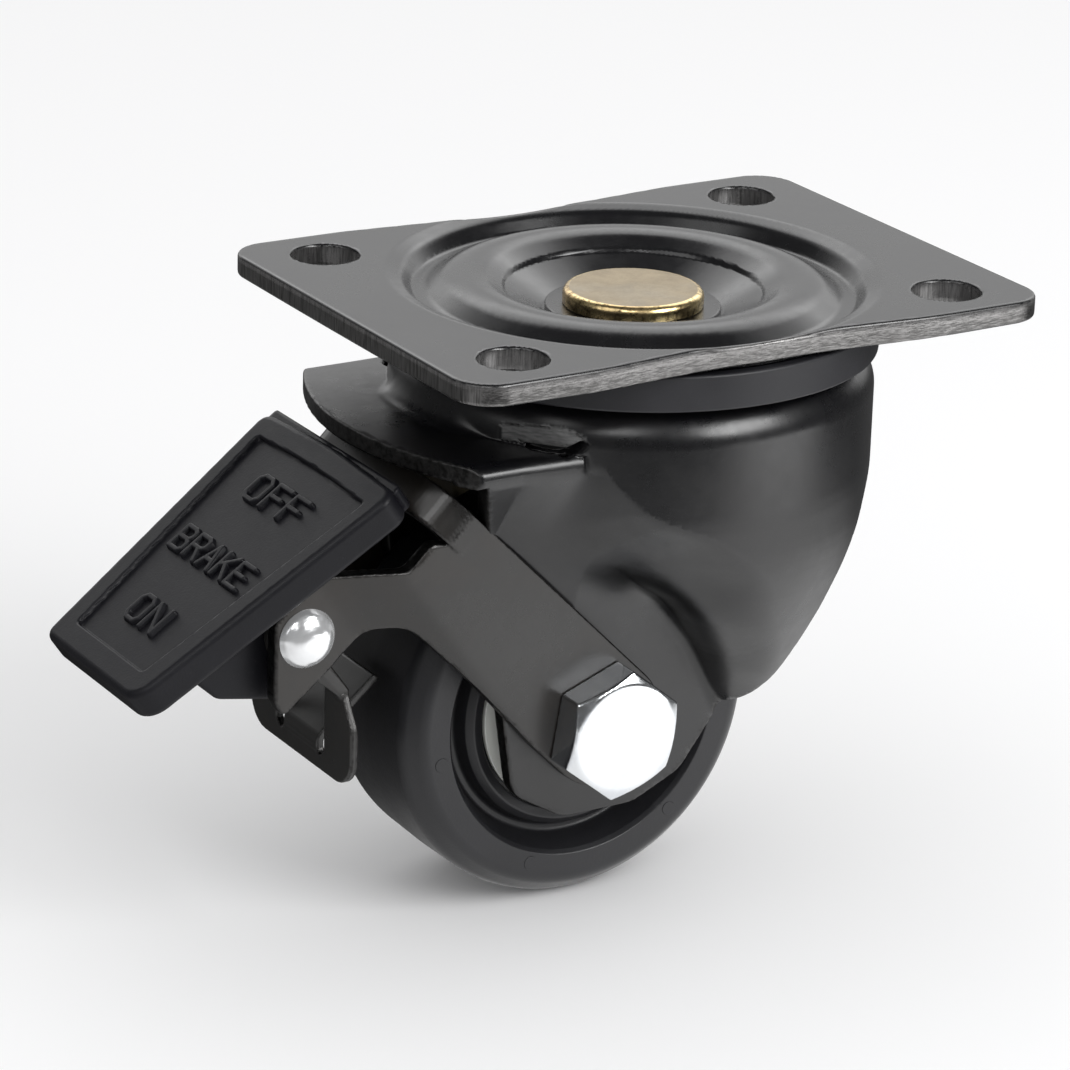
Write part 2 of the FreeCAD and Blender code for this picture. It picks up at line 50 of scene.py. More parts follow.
# =====================================================================================
# plane outlines with rounded corners
# =====================================================================================
def corner_arc(a, b, c, r):
    """Rounds the corner b between a and c. Returns start, centre, end, or None."""
    u = np.subtract(a, b).astype(float)
    v = np.subtract(c, b).astype(float)
    u /= np.hypot(*u)
    v /= np.hypot(*v)
    half = math.acos(max(-1.0, min(1.0, float(u @ v)))) / 2
    if r <= 0 or half > math.pi / 2 - 1e-4:
        return None
    w = (u + v) / np.hypot(*(u + v))
    t = r / math.tan(half)
    return np.array(b) + u * t, np.array(b) + w * (r / math.sin(half)), np.array(b) + v * t


def sample_arc(p, c, q, step):
    a0 = math.atan2(p[1] - c[1], p[0] - c[0])
    a1 = math.atan2(q[1] - c[1], q[0] - c[0])
    d = (a1 - a0 + math.pi) % (2 * math.pi) - math.pi
    r = math.hypot(p[0] - c[0], p[1] - c[1])
    n = max(2, int(abs(d) / math.radians(step)) + 1)
    return [(c[0] + r * math.cos(a0 + d * k / n), c[1] + r * math.sin(a0 + d * k / n)) for k in range(n + 1)]


def outline(pts, step=9.0):
    """Closed outline from (a, b[, r]) points, arcs sampled."""
    out = []
    n = len(pts)
    for i, p in enumerate(pts):
        r = p[2] if len(p) > 2 else 0.0
        got = corner_arc(pts[i - 1][:2], p[:2], pts[(i + 1) % n][:2], r) if r > 0 else None
        if got is None:
            out.append((p[0], p[1]))
        else:
            out += sample_arc(*got, step)
    return np.array(out, float)


def poly_exact(P, a, b):
    a, b = np.broadcast_arrays(a, b)
    d = np.full(a.shape, 1e9)
    s = np.zeros(a.shape, bool)
    n = len(P)
    for i in range(n):
        p, q = P[i], P[i - 1]
        ex, ey = q[0] - p[0], q[1] - p[1]
        l2 = ex * ex + ey * ey
        if l2 < 1e-12:
            continue
        wx, wy = a - p[0], b - p[1]
        t = np.clip((wx * ex + wy * ey) / l2, 0.0, 1.0)
        bx, by = wx - ex * t, wy - ey * t
        np.minimum(d, bx * bx + by * by, out=d)
        c1, c2, c3 = b >= p[1], b < q[1], ex * wy > ey * wx
        s ^= (c1 & c2 & c3) | (~c1 & ~c2 & ~c3)
    return np.where(s, -1.0, 1.0) * np.sqrt(d)


class Poly:
    """Signed distance to a closed outline; big fields read it from a fine table."""

    def __init__(self, pts, step=9.0):
        self.P = outline(pts, step)
        self.tab = None

    def __call__(self, a, b):
        a, b = np.asarray(a), np.asarray(b)
        size = int(np.prod(np.broadcast_shapes(a.shape, b.shape)))
        if size < 700000:
            return poly_exact(self.P, a, b)
        a0, a1, b0, b1 = float(a.min()) - 1, float(a.max()) + 1, float(b.min()) - 1, float(b.max()) + 1
        h = 0.2
        if self.tab is None or self.tab[0] != (a0, a1, b0, b1):
            ga, gb = np.arange(a0, a1 + h, h), np.arange(b0, b1 + h, h)
            self.tab = ((a0, a1, b0, b1), poly_exact(self.P, ga[:, None], gb[None, :]).astype(np.float32))
        T = self.tab[1]
        fa, fb = (a - a0) / h, (b - b0) / h
        ia, ib = np.clip(fa.astype(int), 0, T.shape[0] - 2), np.clip(fb.astype(int), 0, T.shape[1] - 2)
        fa, fb = (fa - ia).astype(np.float32), (fb - ib).astype(np.float32)
        return (T[ia, ib] * (1 - fa) * (1 - fb) + T[ia + 1, ib] * fa * (1 - fb) + T[ia, ib + 1] * (1 - fa) * fb + T[ia + 1, ib + 1] * fa * fb)


# rounded joins of distance fields
def both(a, b, r=0.0):
    """Inside a and inside b, the edge between them rounded by r."""
    if np.isscalar(r) and r <= 0:
        return np.maximum(a, b)
    u, v = np.maximum(r + a, 0), np.maximum(r + b, 0)
    return np.minimum(-r, np.maximum(a, b)) + np.sqrt(u * u + v * v)


def either(a, b, r=0.0):
    if np.isscalar(r) and r <= 0:
        return np.minimum(a, b)
    u, v = np.maximum(r - a, 0), np.maximum(r - b, 0)
    return np.maximum(r, np.minimum(a, b)) - np.sqrt(u * u + v * v)


def less(a, b, r=0.0):
    return both(a, -b, r)


def smooth01(x, lo, hi):
    t = np.clip((x - lo) / (hi - lo), 0, 1)
    return t * t * (3 - 2 * t)


def soft_pos(t, w):
    return (t + np.sqrt(t * t + w * w)) / 2


# =====================================================================================
# mesh of a distance field
# =====================================================================================
def grid_axis(lo, hi, h, fine):
    """Grid lines from lo to hi, h apart, and closer inside the fine ranges (a, b, step)."""
    out = [lo]
    while out[-1] < hi:
        step = h
        for a, b, fh in fine:
            if a <= out[-1] < b:
                step = fh
        out.append(out[-1] + step)
    return np.array(out)


def field_mesh(f, lo, hi, h, fine=((), (), ())):
    x, y, z = [grid_axis(lo[i], hi[i], h, fine[i]) for i in range(3)]
    ax = (x, y, z)
    shape = (len(x), len(y), len(z))
    F = np.broadcast_to(f(x[:, None, None], y[None, :, None], z[None, None, :]), shape).astype(np.float32)
    F = np.where(F == 0, 1e-6, F)
    S = F < 0
    nx, ny, nz = shape
    c = np.zeros((nx - 1, ny - 1, nz - 1), np.uint8)
    for i in (0, 1):
        for j in (0, 1):
            for k in (0, 1):
                c += S[i:nx - 1 + i, j:ny - 1 + j, k:nz - 1 + k]
    act = (c > 0) & (c < 8)
    I, J, K = np.nonzero(act)
    n = len(I)
    idx = np.full(act.shape, -1, np.int64)
    idx[I, J, K] = np.arange(n)
    quads, cut, at = [], [], []
    for axis in range(3):
        sl0, sl1 = [slice(1, -1)] * 3, [slice(1, -1)] * 3
        sl0[axis], sl1[axis] = slice(0, -1), slice(1, None)
        e = S[tuple(sl0)] != S[tuple(sl1)]
        g = list(np.nonzero(e))
        for d in range(3):
            if d != axis:
                g[d] = g[d] + 1
        p, q = [(1, 2), (2, 0), (0, 1)][axis]
        corners = []
        for dp, dq in ((-1, -1), (0, -1), (0, 0), (-1, 0)):
            t = [g[0], g[1], g[2]]
            t[p], t[q] = t[p] + dp, t[q] + dq
            corners.append(idx[t[0], t[1], t[2]])
        Q = np.stack(corners, 1)
        g2 = list(g)
        g2[axis] = g2[axis] + 1
        fa, fb = F[g[0], g[1], g[2]], F[g2[0], g2[1], g2[2]]
        w = fa / (fa - fb)
        P = np.stack([ax[d][g[d]] for d in range(3)], 1).astype(float)
        P[:, axis] += w * (ax[axis][g2[axis]] - ax[axis][g[axis]])
        cut.append(P)
        at.append(Q.copy())
        inside = S[g[0], g[1], g[2]]
        Q[~inside] = Q[~inside][:, ::-1]
        quads.append(Q)
    # each cell's point from the planes that pass through it, so crisp edges stay straight
    P, C = np.concatenate(cut), np.concatenate(at)
    N = gradient(f, P, 0.03)[0]
    N /= np.maximum(np.sqrt((N * N).sum(1)), 1e-9)[:, None]
    cell = C.T.ravel()
    PP, NN = np.tile(P, (4, 1)), np.tile(N, (4, 1))
    add = lambda w: np.bincount(cell, w, n)
    cnt = add(np.ones(len(cell)))
    mid = np.stack([add(PP[:, d]) for d in range(3)], 1) / cnt[:, None]
    A = np.zeros((n, 3, 3))
    for i in range(3):
        for j in range(i, 3):
            A[:, i, j] = A[:, j, i] = add(NN[:, i] * NN[:, j])
    dist = (NN * (PP - mid[cell])).sum(1)
    B = np.stack([add(NN[:, d] * dist) for d in range(3)], 1)
    A += np.eye(3)[None] * (0.04 * cnt)[:, None, None]
    V = mid + np.linalg.solve(A, B[:, :, None])[:, :, 0]
    lo3 = np.stack([x[I], y[J], z[K]], 1)
    hi3 = np.stack([x[I + 1], y[J + 1], z[K + 1]], 1)
    return np.clip(V, lo3 - 0.1 * h, hi3 + 0.1 * h), np.concatenate(quads)


TET = np.array([(1, -1, -1), (-1, -1, 1), (-1, 1, -1), (1, 1, 1)], float)


def gradient(f, V, eps):
    g, m = np.zeros_like(V), np.zeros(len(V))
    for k in TET:
        q = V + k * eps
        d = f(q[:, 0], q[:, 1], q[:, 2])
        g += d[:, None] * k
        m += d
    return g / (4 * eps), m / 4


def settle(f, V, h, rounds=2):
    for _ in range(rounds):
        g, d = gradient(f, V, 0.03)
        n2 = np.maximum((g * g).sum(1), 0.05)
        step = g * (d / n2)[:, None]
        ln = np.sqrt((step * step).sum(1))
        V = V - step * np.minimum(1.0, 0.6 * h / np.maximum(ln, 1e-9))[:, None]
    g, d = gradient(f, V, 0.05)
    n = g / np.maximum(np.sqrt((g * g).sum(1)), 1e-9)[:, None]
    return V, n


def add_mesh(name, V, faces, normals, mats, body, stands_for=(), attrs=None, face_mats=None):
    me = bpy.data.meshes.new(name)
    me.from_pydata((np.asarray(V) * MM).tolist(), [], faces.tolist() if hasattr(faces, "tolist") else faces)
    me.update()
    me.polygons.foreach_set("use_smooth", [True] * len(me.polygons))
    if attrs:
        for key, val in attrs.items():
            at = me.attributes.new(key, "FLOAT", "POINT")
            at.data.foreach_set("value", np.asarray(val, np.float32))
    for m in (mats if isinstance(mats, (list, tuple)) else [mats]):
        me.materials.append(m)
    if face_mats is not None:
        me.polygons.foreach_set("material_index", face_mats)
    if normals is not None:
        me.normals_split_custom_set_from_vertices(np.asarray(normals).tolist())
    ob = bpy.data.objects.new(name, me)
    bpy.context.scene.collection.objects.link(ob)
    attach(ob, body)
    for n in stands_for:
        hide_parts(n)
    return ob


def sculpt(name, f, lo, hi, h, mats, body, stands_for=(), to_row=None, attrs=None, fine=((), (), ())):
    """One piece from a distance field. to_row maps local points and normals to the row frame."""
    V, Q = field_mesh(f, lo, hi, h, fine)
    V, N = settle(f, V, h)
    at = {k: g(V[:, 0], V[:, 1], V[:, 2]) for k, g in (attrs or {}).items()}
    if to_row is not None:
        V, N, Q = to_row(V, N, Q)
    return add_mesh(name, V, Q, N, mats, body, stands_for, at)


# =====================================================================================
# turned pieces
# =====================================================================================
def turned_profile(pts, closed, step=10.0, low=0.12):
    """(r, h[, round]) points to samples (r, h, nr, nh), outward normals."""
    n = len(pts)
    area = 0.0
    loop = [(p[0], p[1]) for p in pts]
    for i in range(n):
        a, b = loop[i - 1], loop[i]
        area += a[0] * b[1] - b[0] * a[1]
    sgn = 1.0 if area > 0 else -1.0
    out = []

    def nrm(a, b):
        d = (b[0] - a[0], b[1] - a[1])
        ln = math.hypot(*d)
        return (sgn * d[1] / ln, -sgn * d[0] / ln)

    rng = range(n)
    for i in rng:
        p = pts[i]
        if not closed and i in (0, n - 1):
            q = pts[1] if i == 0 else pts[n - 2]
            nn = nrm(p, q) if i == 0 else nrm(q, p)
            out.append((p[0], p[1], nn[0], nn[1]))
            continue
        a, c = pts[i - 1], pts[(i + 1) % n]
        r = p[2] if len(p) > 2 else low
        la = math.hypot(a[0] - p[0], a[1] - p[1])
        lc = math.hypot(c[0] - p[0], c[1] - p[1])
        n0, n1 = nrm(a, p), nrm(p, c)
        ang = math.acos(max(-1, min(1, n0[0] * n1[0] + n0[1] * n1[1])))
        if ang < 0.02:
            out.append((p[0], p[1], n0[0], n0[1]))
            continue
        r = min(r, 0.48 * min(la, lc) / math.tan(ang / 2))
        s, cc, e = corner_arc(a[:2], p[:2], c[:2], r)
        arc = sample_arc(s, cc, e, step)
        convex = ((s[0] - cc[0]) * n0[0] + (s[1] - cc[1]) * n0[1]) > 0
        for q in arc:
            v = ((q[0] - cc[0]) / r, (q[1] - cc[1]) / r)
            out.append((q[0], q[1], v[0] if convex else -v[0], v[1] if convex else -v[1]))
    return out


def turned(name, pts, mats, body, stands_for=(), axis="z", at=(0.0, 0.0), closed=False, seg=192, step=10.0, extra=None, attrs=None, low=0.12):
    pr = turned_profile(pts, closed, step, low)
    ang = np.linspace(0, 2 * math.pi, seg, endpoint=False)
    ca, sa = np.cos(ang), np.sin(ang)
    V, N, rows = [], [], []
    k = 0
    for r, h, nr, nh in pr:
        if r < 1e-6:
            V.append([(0, 0, h)])
            N.append([(0, 0, 1.0 if nh > 0 else -1.0)])
            rows.append((k, 1))
            k += 1
        else:
            V.append(np.stack([r * ca, r * sa, np.full(seg, h)], 1))
            N.append(np.stack([nr * ca, nr * sa, np.full(seg, nh)], 1))
            rows.append((k, seg))
            k += seg
    V, N = np.concatenate([np.array(v, float) for v in V]), np.concatenate([np.array(v, float) for v in N])
    faces = []
    m = len(rows)
    for i in range(m if closed else m - 1):
        (a, na), (b, nb) = rows[i], rows[(i + 1) % m]
        for s in range(seg):
            t = (s + 1) % seg
            if na == 1 and nb == 1:
                continue
            if na == 1:
                faces.append([a, b + s, b + t])
            elif nb == 1:
                faces.append([a + s, b, a + t])
            else:
                faces.append([a + s, b + s, b + t, a + t])
    f0 = faces[len(faces) // 3]
    e1, e2 = V[f0[1]] - V[f0[0]], V[f0[2]] - V[f0[0]]
    if np.dot(np.cross(e1, e2), N[f0[0]]) < 0:
        faces = [f[::-1] for f in faces]
    if axis == "y":
        V = np.stack([V[:, 0] + at[0], V[:, 2], -V[:, 1] + at[1]], 1)
        N = np.stack([N[:, 0], N[:, 2], -N[:, 1]], 1)
    else:
        V = V + np.array([at[0], at[1], 0.0])
    if extra is not None:
        for eV, eN, eF in extra:
            o = len(V)
            V, N = np.concatenate([V, eV]), np.concatenate([N, eN])
            faces += [[i + o for i in f] for f in eF]
    al = {k2: g(V[:, 0], V[:, 1], V[:, 2]) for k2, g in (attrs or {}).items()}
    return add_mesh(name, V, faces, N, mats, body, stands_for, al)


# =====================================================================================
# materials
# =====================================================================================
class Mat:
    """Small helper that wires one procedural material."""

    def __init__(self, name, color, metallic=0.0, rough=0.4, ior=1.5, coat=0.0, coat_rough=0.05, sheen=0.0, aniso=0.0):
        m = bpy.data.materials.get(name) or bpy.data.materials.new(name)
        m.use_nodes = True
        self.m, self.t = m, m.node_tree
        self.t.nodes.clear()
        self.out = self.t.nodes.new("ShaderNodeOutputMaterial")
        self.b = self.t.nodes.new("ShaderNodeBsdfPrincipled")
        self.t.links.new(self.b.outputs[0], self.out.inputs[0])
        s = self.b.inputs
        s["Base Color"].default_value = (*color, 1)
        s["Metallic"].default_value = metallic
        s["Roughness"].default_value = rough
        s["IOR"].default_value = ior
        s["Coat Weight"].default_value = coat
        s["Coat Roughness"].default_value = coat_rough
        s["Sheen Weight"].default_value = sheen
        s["Anisotropic"].default_value = aniso
        self.co = self.t.nodes.new("ShaderNodeTexCoord").outputs["Object"]

    def node(self, kind, **kw):
        n = self.t.nodes.new(kind)
        for k, v in kw.items():
            setattr(n, k, v)
        return n

    def link(self, a, b):
        self.t.links.new(a, b)

    def stretch(self, scale):
        n = self.node("ShaderNodeMapping")
        n.inputs["Scale"].default_value = scale
        self.link(self.co, n.inputs["Vector"])
        return n.outputs[0]

    def sep(self, i):
        n = self.node("ShaderNodeSeparateXYZ")
        self.link(self.co, n.inputs[0])
        return n.outputs[i]

    def noise(self, scale, detail=3.0, rough=0.55, vec=None, dist=0.0):
        n = self.node("ShaderNodeTexNoise")
        n.inputs["Scale"].default_value = scale
        n.inputs["Detail"].default_value = detail
        n.inputs["Roughness"].default_value = rough
        n.inputs["Distortion"].default_value = dist
        self.link(vec or self.co, n.inputs["Vector"])
        return n.outputs["Fac"]

    def cells(self, scale, vec=None, feature="F1"):
        n = self.node("ShaderNodeTexVoronoi", feature=feature)
        n.inputs["Scale"].default_value = scale
        self.link(vec or self.co, n.inputs["Vector"])
        return n.outputs["Distance"]

    def ramp(self, fac, stops):
        n = self.node("ShaderNodeValToRGB")
        e = n.color_ramp.elements
        while len(e) < len(stops):
            e.new(0.5)
        for el, (p, c) in zip(e, stops):
            el.position = p
            el.color = (*c, 1) if isinstance(c, (tuple, list)) else (c, c, c, 1)
        self.link(fac, n.inputs[0])
        return n.outputs[0]

    def span(self, fac, a, b, lo, hi):
        n = self.node("ShaderNodeMapRange")
        n.inputs["From Min"].default_value = a
        n.inputs["From Max"].default_value = b
        n.inputs["To Min"].default_value = lo
        n.inputs["To Max"].default_value = hi
        self.link(fac, n.inputs["Value"])
        return n.outputs[0]

    def math(self, op, a, b=None, clamp=False):
        n = self.node("ShaderNodeMath", operation=op)
        n.use_clamp = clamp
        for i, v in enumerate((a, b)):
            if v is None:
                continue
            if isinstance(v, (int, float)):
                n.inputs[i].default_value = v
            else:
                self.link(v, n.inputs[i])
        return n.outputs[0]

    def mix(self, fac, a, b, blend="MIX"):
        n = self.node("ShaderNodeMix", data_type="RGBA", blend_type=blend)
        for sock, v in ((n.inputs[0], fac), (n.inputs[6], a), (n.inputs[7], b)):
            if isinstance(v, (int, float)):
                sock.default_value = v
            elif isinstance(v, (tuple, list)):
                sock.default_value = (*v, 1)
            else:
                self.link(v, sock)
        return n.outputs[2]

    def attr(self, name):
        n = self.node("ShaderNodeAttribute", attribute_name=name)
        return n.outputs["Fac"]

    def color(self, sock):
        self.link(sock, self.b.inputs["Base Color"])
        return self

    def rough(self, sock):
        self.link(sock, self.b.inputs["Roughness"])
        return self

    def bump(self, parts):
        """parts: (height socket, distance in metres, strength)."""
        last = None
        for sock, dist, strength in parts:
            n = self.node("ShaderNodeBump")
            n.inputs["Distance"].default_value = dist
            n.inputs["Strength"].default_value = strength
            self.link(sock, n.inputs["Height"])
            if last is not None:
                self.link(last, n.inputs["Normal"])
            last = n.outputs[0]
        self.link(last, self.b.inputs["Normal"])
        return self


def black_coat(name, edge=True, tint=(0.009, 0.0075, 0.0062), amount=0.35, base=(0.0036, 0.0036, 0.0046), rough=(0.16, 0.30), streak=(1, 1, 1), bare=0.05, ior=1.6, peel=0.18, along=None, cut=False):
    """Electro-coated steel: glossy, slight orange peel, brownish clouds, sheared edges a little burnished; with cut,
    the cut face gets a painted reflection in light grey.
    """
    k = Mat(name, base, rough=0.22, ior=ior)
    clouds = k.noise(38, 4, 0.6)
    fine = k.noise(420, 3, 0.6)
    tintf = k.math("MULTIPLY", k.span(clouds, 0.42, 0.68, 0.0, 1.0), amount)
    col = k.mix(tintf, base, tint)
    col = k.mix(k.math("MULTIPLY", k.span(k.noise(2600, 2, 0.5), 0.6, 0.75, 0, 1), 0.12), col, (0.05, 0.05, 0.052))
    r = k.math("ADD", k.span(clouds, 0.3, 0.7, rough[0], rough[1]), k.span(fine, 0.3, 0.7, -0.02, 0.04))
    bumps = [(k.noise(900, 2, 0.5), 0.00005, peel), (k.noise(170, 2, 0.5), 0.0003, peel * 0.55)]
    if edge:
        e = k.attr("edge")
        lines = k.noise(1.0, 3, 0.6, k.stretch(streak))
        if along:
            flat = k.math("ADD", k.math("MULTIPLY", k.noise(1.0, 3, 0.6, k.stretch(along)), 0.75),
                          k.math("MULTIPLY", k.noise(2600, 3, 0.6), k.span(k.sep(2), -0.0022, -0.0012, 0.10, 0.32)))
            lines = k.math("ADD", k.math("MULTIPLY", lines, k.math("SUBTRACT", 1.0, k.attr("long"))), k.math("MULTIPLY", flat, k.attr("long")))
        ef = k.math("MULTIPLY", e, 1.0)
        if cut:
            # painted reflection: the bare cut face is coloured light grey to stand in for the bright surroundings it
            # reflects
            col = k.mix(k.attr("cut"), col, k.ramp(k.noise(1.0, 3, 0.6, k.stretch((500, 500, 2600))), [(0.35, 0.055), (0.65, 0.12)]))
        col = k.mix(ef, col, k.ramp(lines, [(0.36, tuple(v * bare * 0.5 for v in (1, 0.98, 0.96))), (0.52, (bare, bare * 0.98, bare * 0.97)), (0.74, (bare * 1.45, bare * 1.42, bare * 1.4))]))
        k.link(ef, k.b.inputs["Metallic"])
        r = k.math("ADD", r, k.math("MULTIPLY", ef, 0.08))
        bumps.append((k.math("MULTIPLY", lines, ef), 0.0002, 0.35))
    k.color(col).rough(r).bump(bumps)
    return k.m


M_PLATE = black_coat("plate_black", tint=(0.007, 0.007, 0.008), amount=0.3, rough=(0.18, 0.28), streak=(3200, 3200, 220), bare=0.24, peel=0.09, along=(600, 3500, 4200))
M_FORK = black_coat("fork_black", rough=(0.25, 0.36), streak=(900, 900, 900), bare=0.05, cut=True)
M_BRKT = black_coat("bracket_black", base=(0.0085, 0.0076, 0.0068), tint=(0.022, 0.0155, 0.0105), amount=0.6, rough=(0.24, 0.38), streak=(900, 900, 900))
M_SHOE = black_coat("shoe_black", base=(0.015, 0.0145, 0.014), tint=(0.026, 0.022, 0.018), amount=0.5, rough=(0.28, 0.42), streak=(900, 900, 900))


def zinc(name, base=(0.73, 0.75, 0.77), low=0.10, high=0.26, blotch=(0.60, 0.63, 0.68), scratch=0.12, metal=1.0):
    k = Mat(name, base, metallic=metal, rough=0.18)
    n1, n2 = k.noise(160, 5, 0.65), k.noise(1300, 3, 0.6)
    k.color(k.mix(k.span(n1, 0.45, 0.75, 0, 0.7), base, blotch))
    k.rough(k.math("ADD", k.span(n1, 0.3, 0.7, low, high), k.span(n2, 0.3, 0.7, -0.03, 0.05)))
    k.bump([(n2, 0.00004, scratch), (k.noise(240, 3, 0.6), 0.00012, 0.10)])
    return k.m


M_BOLT = zinc("bolt_zinc")
M_RIVET = zinc("rivet_zinc", base=(0.92, 0.93, 0.94), low=0.12, high=0.20, blotch=(0.82, 0.84, 0.86), scratch=0.08, metal=0.72)
M_NUT = zinc("nut_zinc", low=0.16, high=0.32)


def passivated():
    k = Mat("pin_yellow", (0.60, 0.52, 0.34), metallic=1.0, rough=0.3)
    top = k.attr("top")
    n1, n2, n3 = k.noise(210, 5, 0.7), k.noise(1500, 3, 0.6), k.noise(70, 3, 0.5)
    face = k.mix(k.span(n1, 0.35, 0.7, 0, 1), (0.34, 0.272, 0.172), (0.26, 0.213, 0.145))
    face = k.mix(k.span(n3, 0.5, 0.68, 0, 0.35), face, (0.33, 0.31, 0.27))
    face = k.mix(k.span(k.noise(3200, 3, 0.6), 0.5, 0.7, 0, 0.30), face, (0.12, 0.10, 0.07))
    side = k.mix(k.span(n3, 0.4, 0.6, 0, 1), (0.86, 0.70, 0.36), (0.62, 0.46, 0.24))
    side = k.mix(k.span(k.noise(900, 4, 0.7), 0.50, 0.62, 0, 0.85), side, (0.16, 0.11, 0.05))
    k.color(k.mix(top, side, face))
    k.rough(k.math("ADD", k.math("MULTIPLY", top, 0.14), k.span(n1, 0.3, 0.7, 0.20, 0.32)))
    k.bump([(n2, 0.00005, 0.4), (n1, 0.00015, 0.3)])
    return k.m


M_PIN = passivated()


def moulded(name, base, rough=(0.42, 0.56), grain=2600, depth=0.00003, strength=0.5, fleck=(0.018, 0.018, 0.021), ior=1.5, dust=0.12):
    k = Mat(name, base, rough=0.5, ior=ior)
    g = k.cells(grain)
    n = k.noise(60, 4, 0.6)
    d = k.noise(900, 4, 0.7)
    col = k.mix(k.span(n, 0.35, 0.7, 0, 0.7), base, fleck)
    col = k.mix(k.math("MULTIPLY", k.span(d, 0.62, 0.78, 0, 1), dust), col, (0.09, 0.09, 0.095))
    k.color(col)
    k.rough(k.math("ADD", k.span(n, 0.3, 0.7, rough[0], rough[1]), k.span(d, 0.3, 0.7, -0.03, 0.03)))
    k.bump([(g, depth, strength), (k.noise(120, 3, 0.5), 0.0002, 0.08)])
    return k.m


M_WHEEL = moulded("wheel_nylon", (0.011, 0.011, 0.0128), rough=(0.34, 0.46), grain=1900, strength=0.35)
M_PEDAL = moulded("pedal_plastic", (0.0052, 0.0052, 0.0074), rough=(0.38, 0.50), grain=2400, strength=0.3, fleck=(0.011, 0.011, 0.014), ior=1.34)
M_SEAL = moulded("seal_grey", (0.011, 0.011, 0.0138), rough=(0.46, 0.6), grain=1500, strength=0.25, fleck=(0.021, 0.021, 0.025))
M_NYLON = moulded("nylon_pale", (0.56, 0.57, 0.54), rough=(0.40, 0.5), grain=1800, strength=0.15, fleck=(0.62, 0.63, 0.60), dust=0.02)


def ground_steel(name, base=(0.52, 0.53, 0.55), rough=(0.18, 0.32)):
    k = Mat(name, base, metallic=1.0, rough=0.25)
    n1, n2 = k.noise(120, 4, 0.6), k.noise(1600, 2, 0.5)
    k.color(k.mix(k.span(n1, 0.4, 0.7, 0, 0.6), base, tuple(v * 0.72 for v in base)))
    k.rough(k.span(n1, 0.3, 0.7, *rough)).bump([(n2, 0.00003, 0.2)])
    return k.m


M_STEEL = ground_steel("bearing_steel")
M_CAGE = ground_steel("cage_steel", (0.38, 0.38, 0.40), (0.3, 0.42))
M_INNER = black_coat("inner_black", edge=False)
M_ZYEL = zinc("nut_yellow", base=(0.66, 0.56, 0.32), low=0.18, high=0.34, blotch=(0.52, 0.42, 0.26))

# materials of the frame's own nodes
for n, m in {"pin_washer": M_INNER, "lower_cup": M_INNER, "race_collar": M_STEEL, "king_nut": M_ZYEL, "king_nut_washer": M_ZYEL,
             "upper_balls": M_STEEL, "lower_balls": M_STEEL, "axle_sleeve": M_STEEL, "bearing_inner_near": M_STEEL, "bearing_inner_far": M_STEEL,
             "bearing_outer_near": M_STEEL, "bearing_outer_far": M_STEEL, "bearing_balls_near": M_STEEL, "bearing_balls_far": M_STEEL,
             "bearing_cage_near": M_CAGE, "bearing_cage_far": M_CAGE}.items():
    ob = nodes[n]
    if not ob.material_slots:
        ob.data.materials.append(m)
    for s in ob.material_slots:
        s.material = m

# =====================================================================================
# top plate
# =====================================================================================
HX, HY, WAIST = 53.0, 40.5, 1.9
plate_xy = Poly([(-HX, -HY, 6.5), (-31, -HY, 60), (-13, -HY + WAIST, 60), (13, -HY + WAIST, 60), (31, -HY, 60), (HX, -HY, 6.5),
                 (HX, HY, 6.5), (31, HY, 60), (13, HY - WAIST, 60), (-13, HY - WAIST, 60), (-31, HY, 60), (-HX, HY, 6.5)], step=4)
plate_rz = Poly([(6.06, -6.2), (14.6, -6.2, 0.4), (20.7, -3.0, 0.3), (21.1, -2.35, 0.3), (24.0, -0.7, 4.0), (26.8, -0.1, 9.0), (30.0, -0.7, 6.0),
                 (33.6, -3.1, 2.4), (35.5, -3.2, 1.0), (37.4, -0.8, 2.4), (40.0, 0, 3.0), (90, 0), (90, -3.2), (38.6, -3.9, 2.0), (35.9, -6.0, 2.0),
                 (32.4, -6.0, 1.5), (29.6, -4.0, 1.5), (26.5, -3.25, 3.0), (23.2, -4.0, 1.5), (21.4, -8.2, 1.5), (19.6, -9.4, 1.0), (6.06, -9.4)], step=3)


def plate_holes(x, y):
    return np.sqrt((np.abs(x) - 40.0) ** 2 + (np.abs(y) - 30.0) ** 2) - 5.6


def plate_field(x, y, z):
    d = both(plate_rz(np.sqrt(x * x + y * y), z), plate_xy(x, y), 0.55)
    return less(d, plate_holes(x, y), 0.35)


def plate_edge(x, y, z):
    rim = (np.abs(plate_xy(x, y)) < 0.22) * 1.0
    bore = (np.abs(plate_holes(x, y)) < 0.22) * 0.5
    return np.maximum(rim, bore) * smooth01(-z, 0.3, 0.75)


sculpt("top_plate_sheet", plate_field, (-54, -41.5, -10.4), (54, 41.5, 0.9), 0.56, M_PLATE, "mount", ["top_plate"],
       attrs={"edge": plate_edge, "long": lambda x, y, z: ((np.abs(y) > 37.5) & (np.abs(x) < 50.5)).astype(float)})

# =====================================================================================
# swivel head
# =====================================================================================
turned("king_pin_head", [(0, -2.5), (11.4, -2.5, 1.15), (11.4, -5.2, 0.35), (6.0, -5.2), (6.0, -32.2), (5.0, -33.2), (0, -33.2)], M_PIN, "mount",
       ["king_pin"], attrs={"top": lambda x, y, z: ((z > -2.62) & (np.hypot(x, y) < 10.45)).astype(float)}, step=12)
turned("dust_seal_ring", [(37.7, -4.6), (39.7, -4.6, 0.5), (39.7, -10.5, 0.5), (37.7, -10.5), (37.7, -7.3, 0.3), (34.2, -7.3), (34.2, -6.05), (37.7, -6.05, 0.3)],
       M_SEAL, "mount", ["dust_seal"], closed=True, seg=224, step=18)

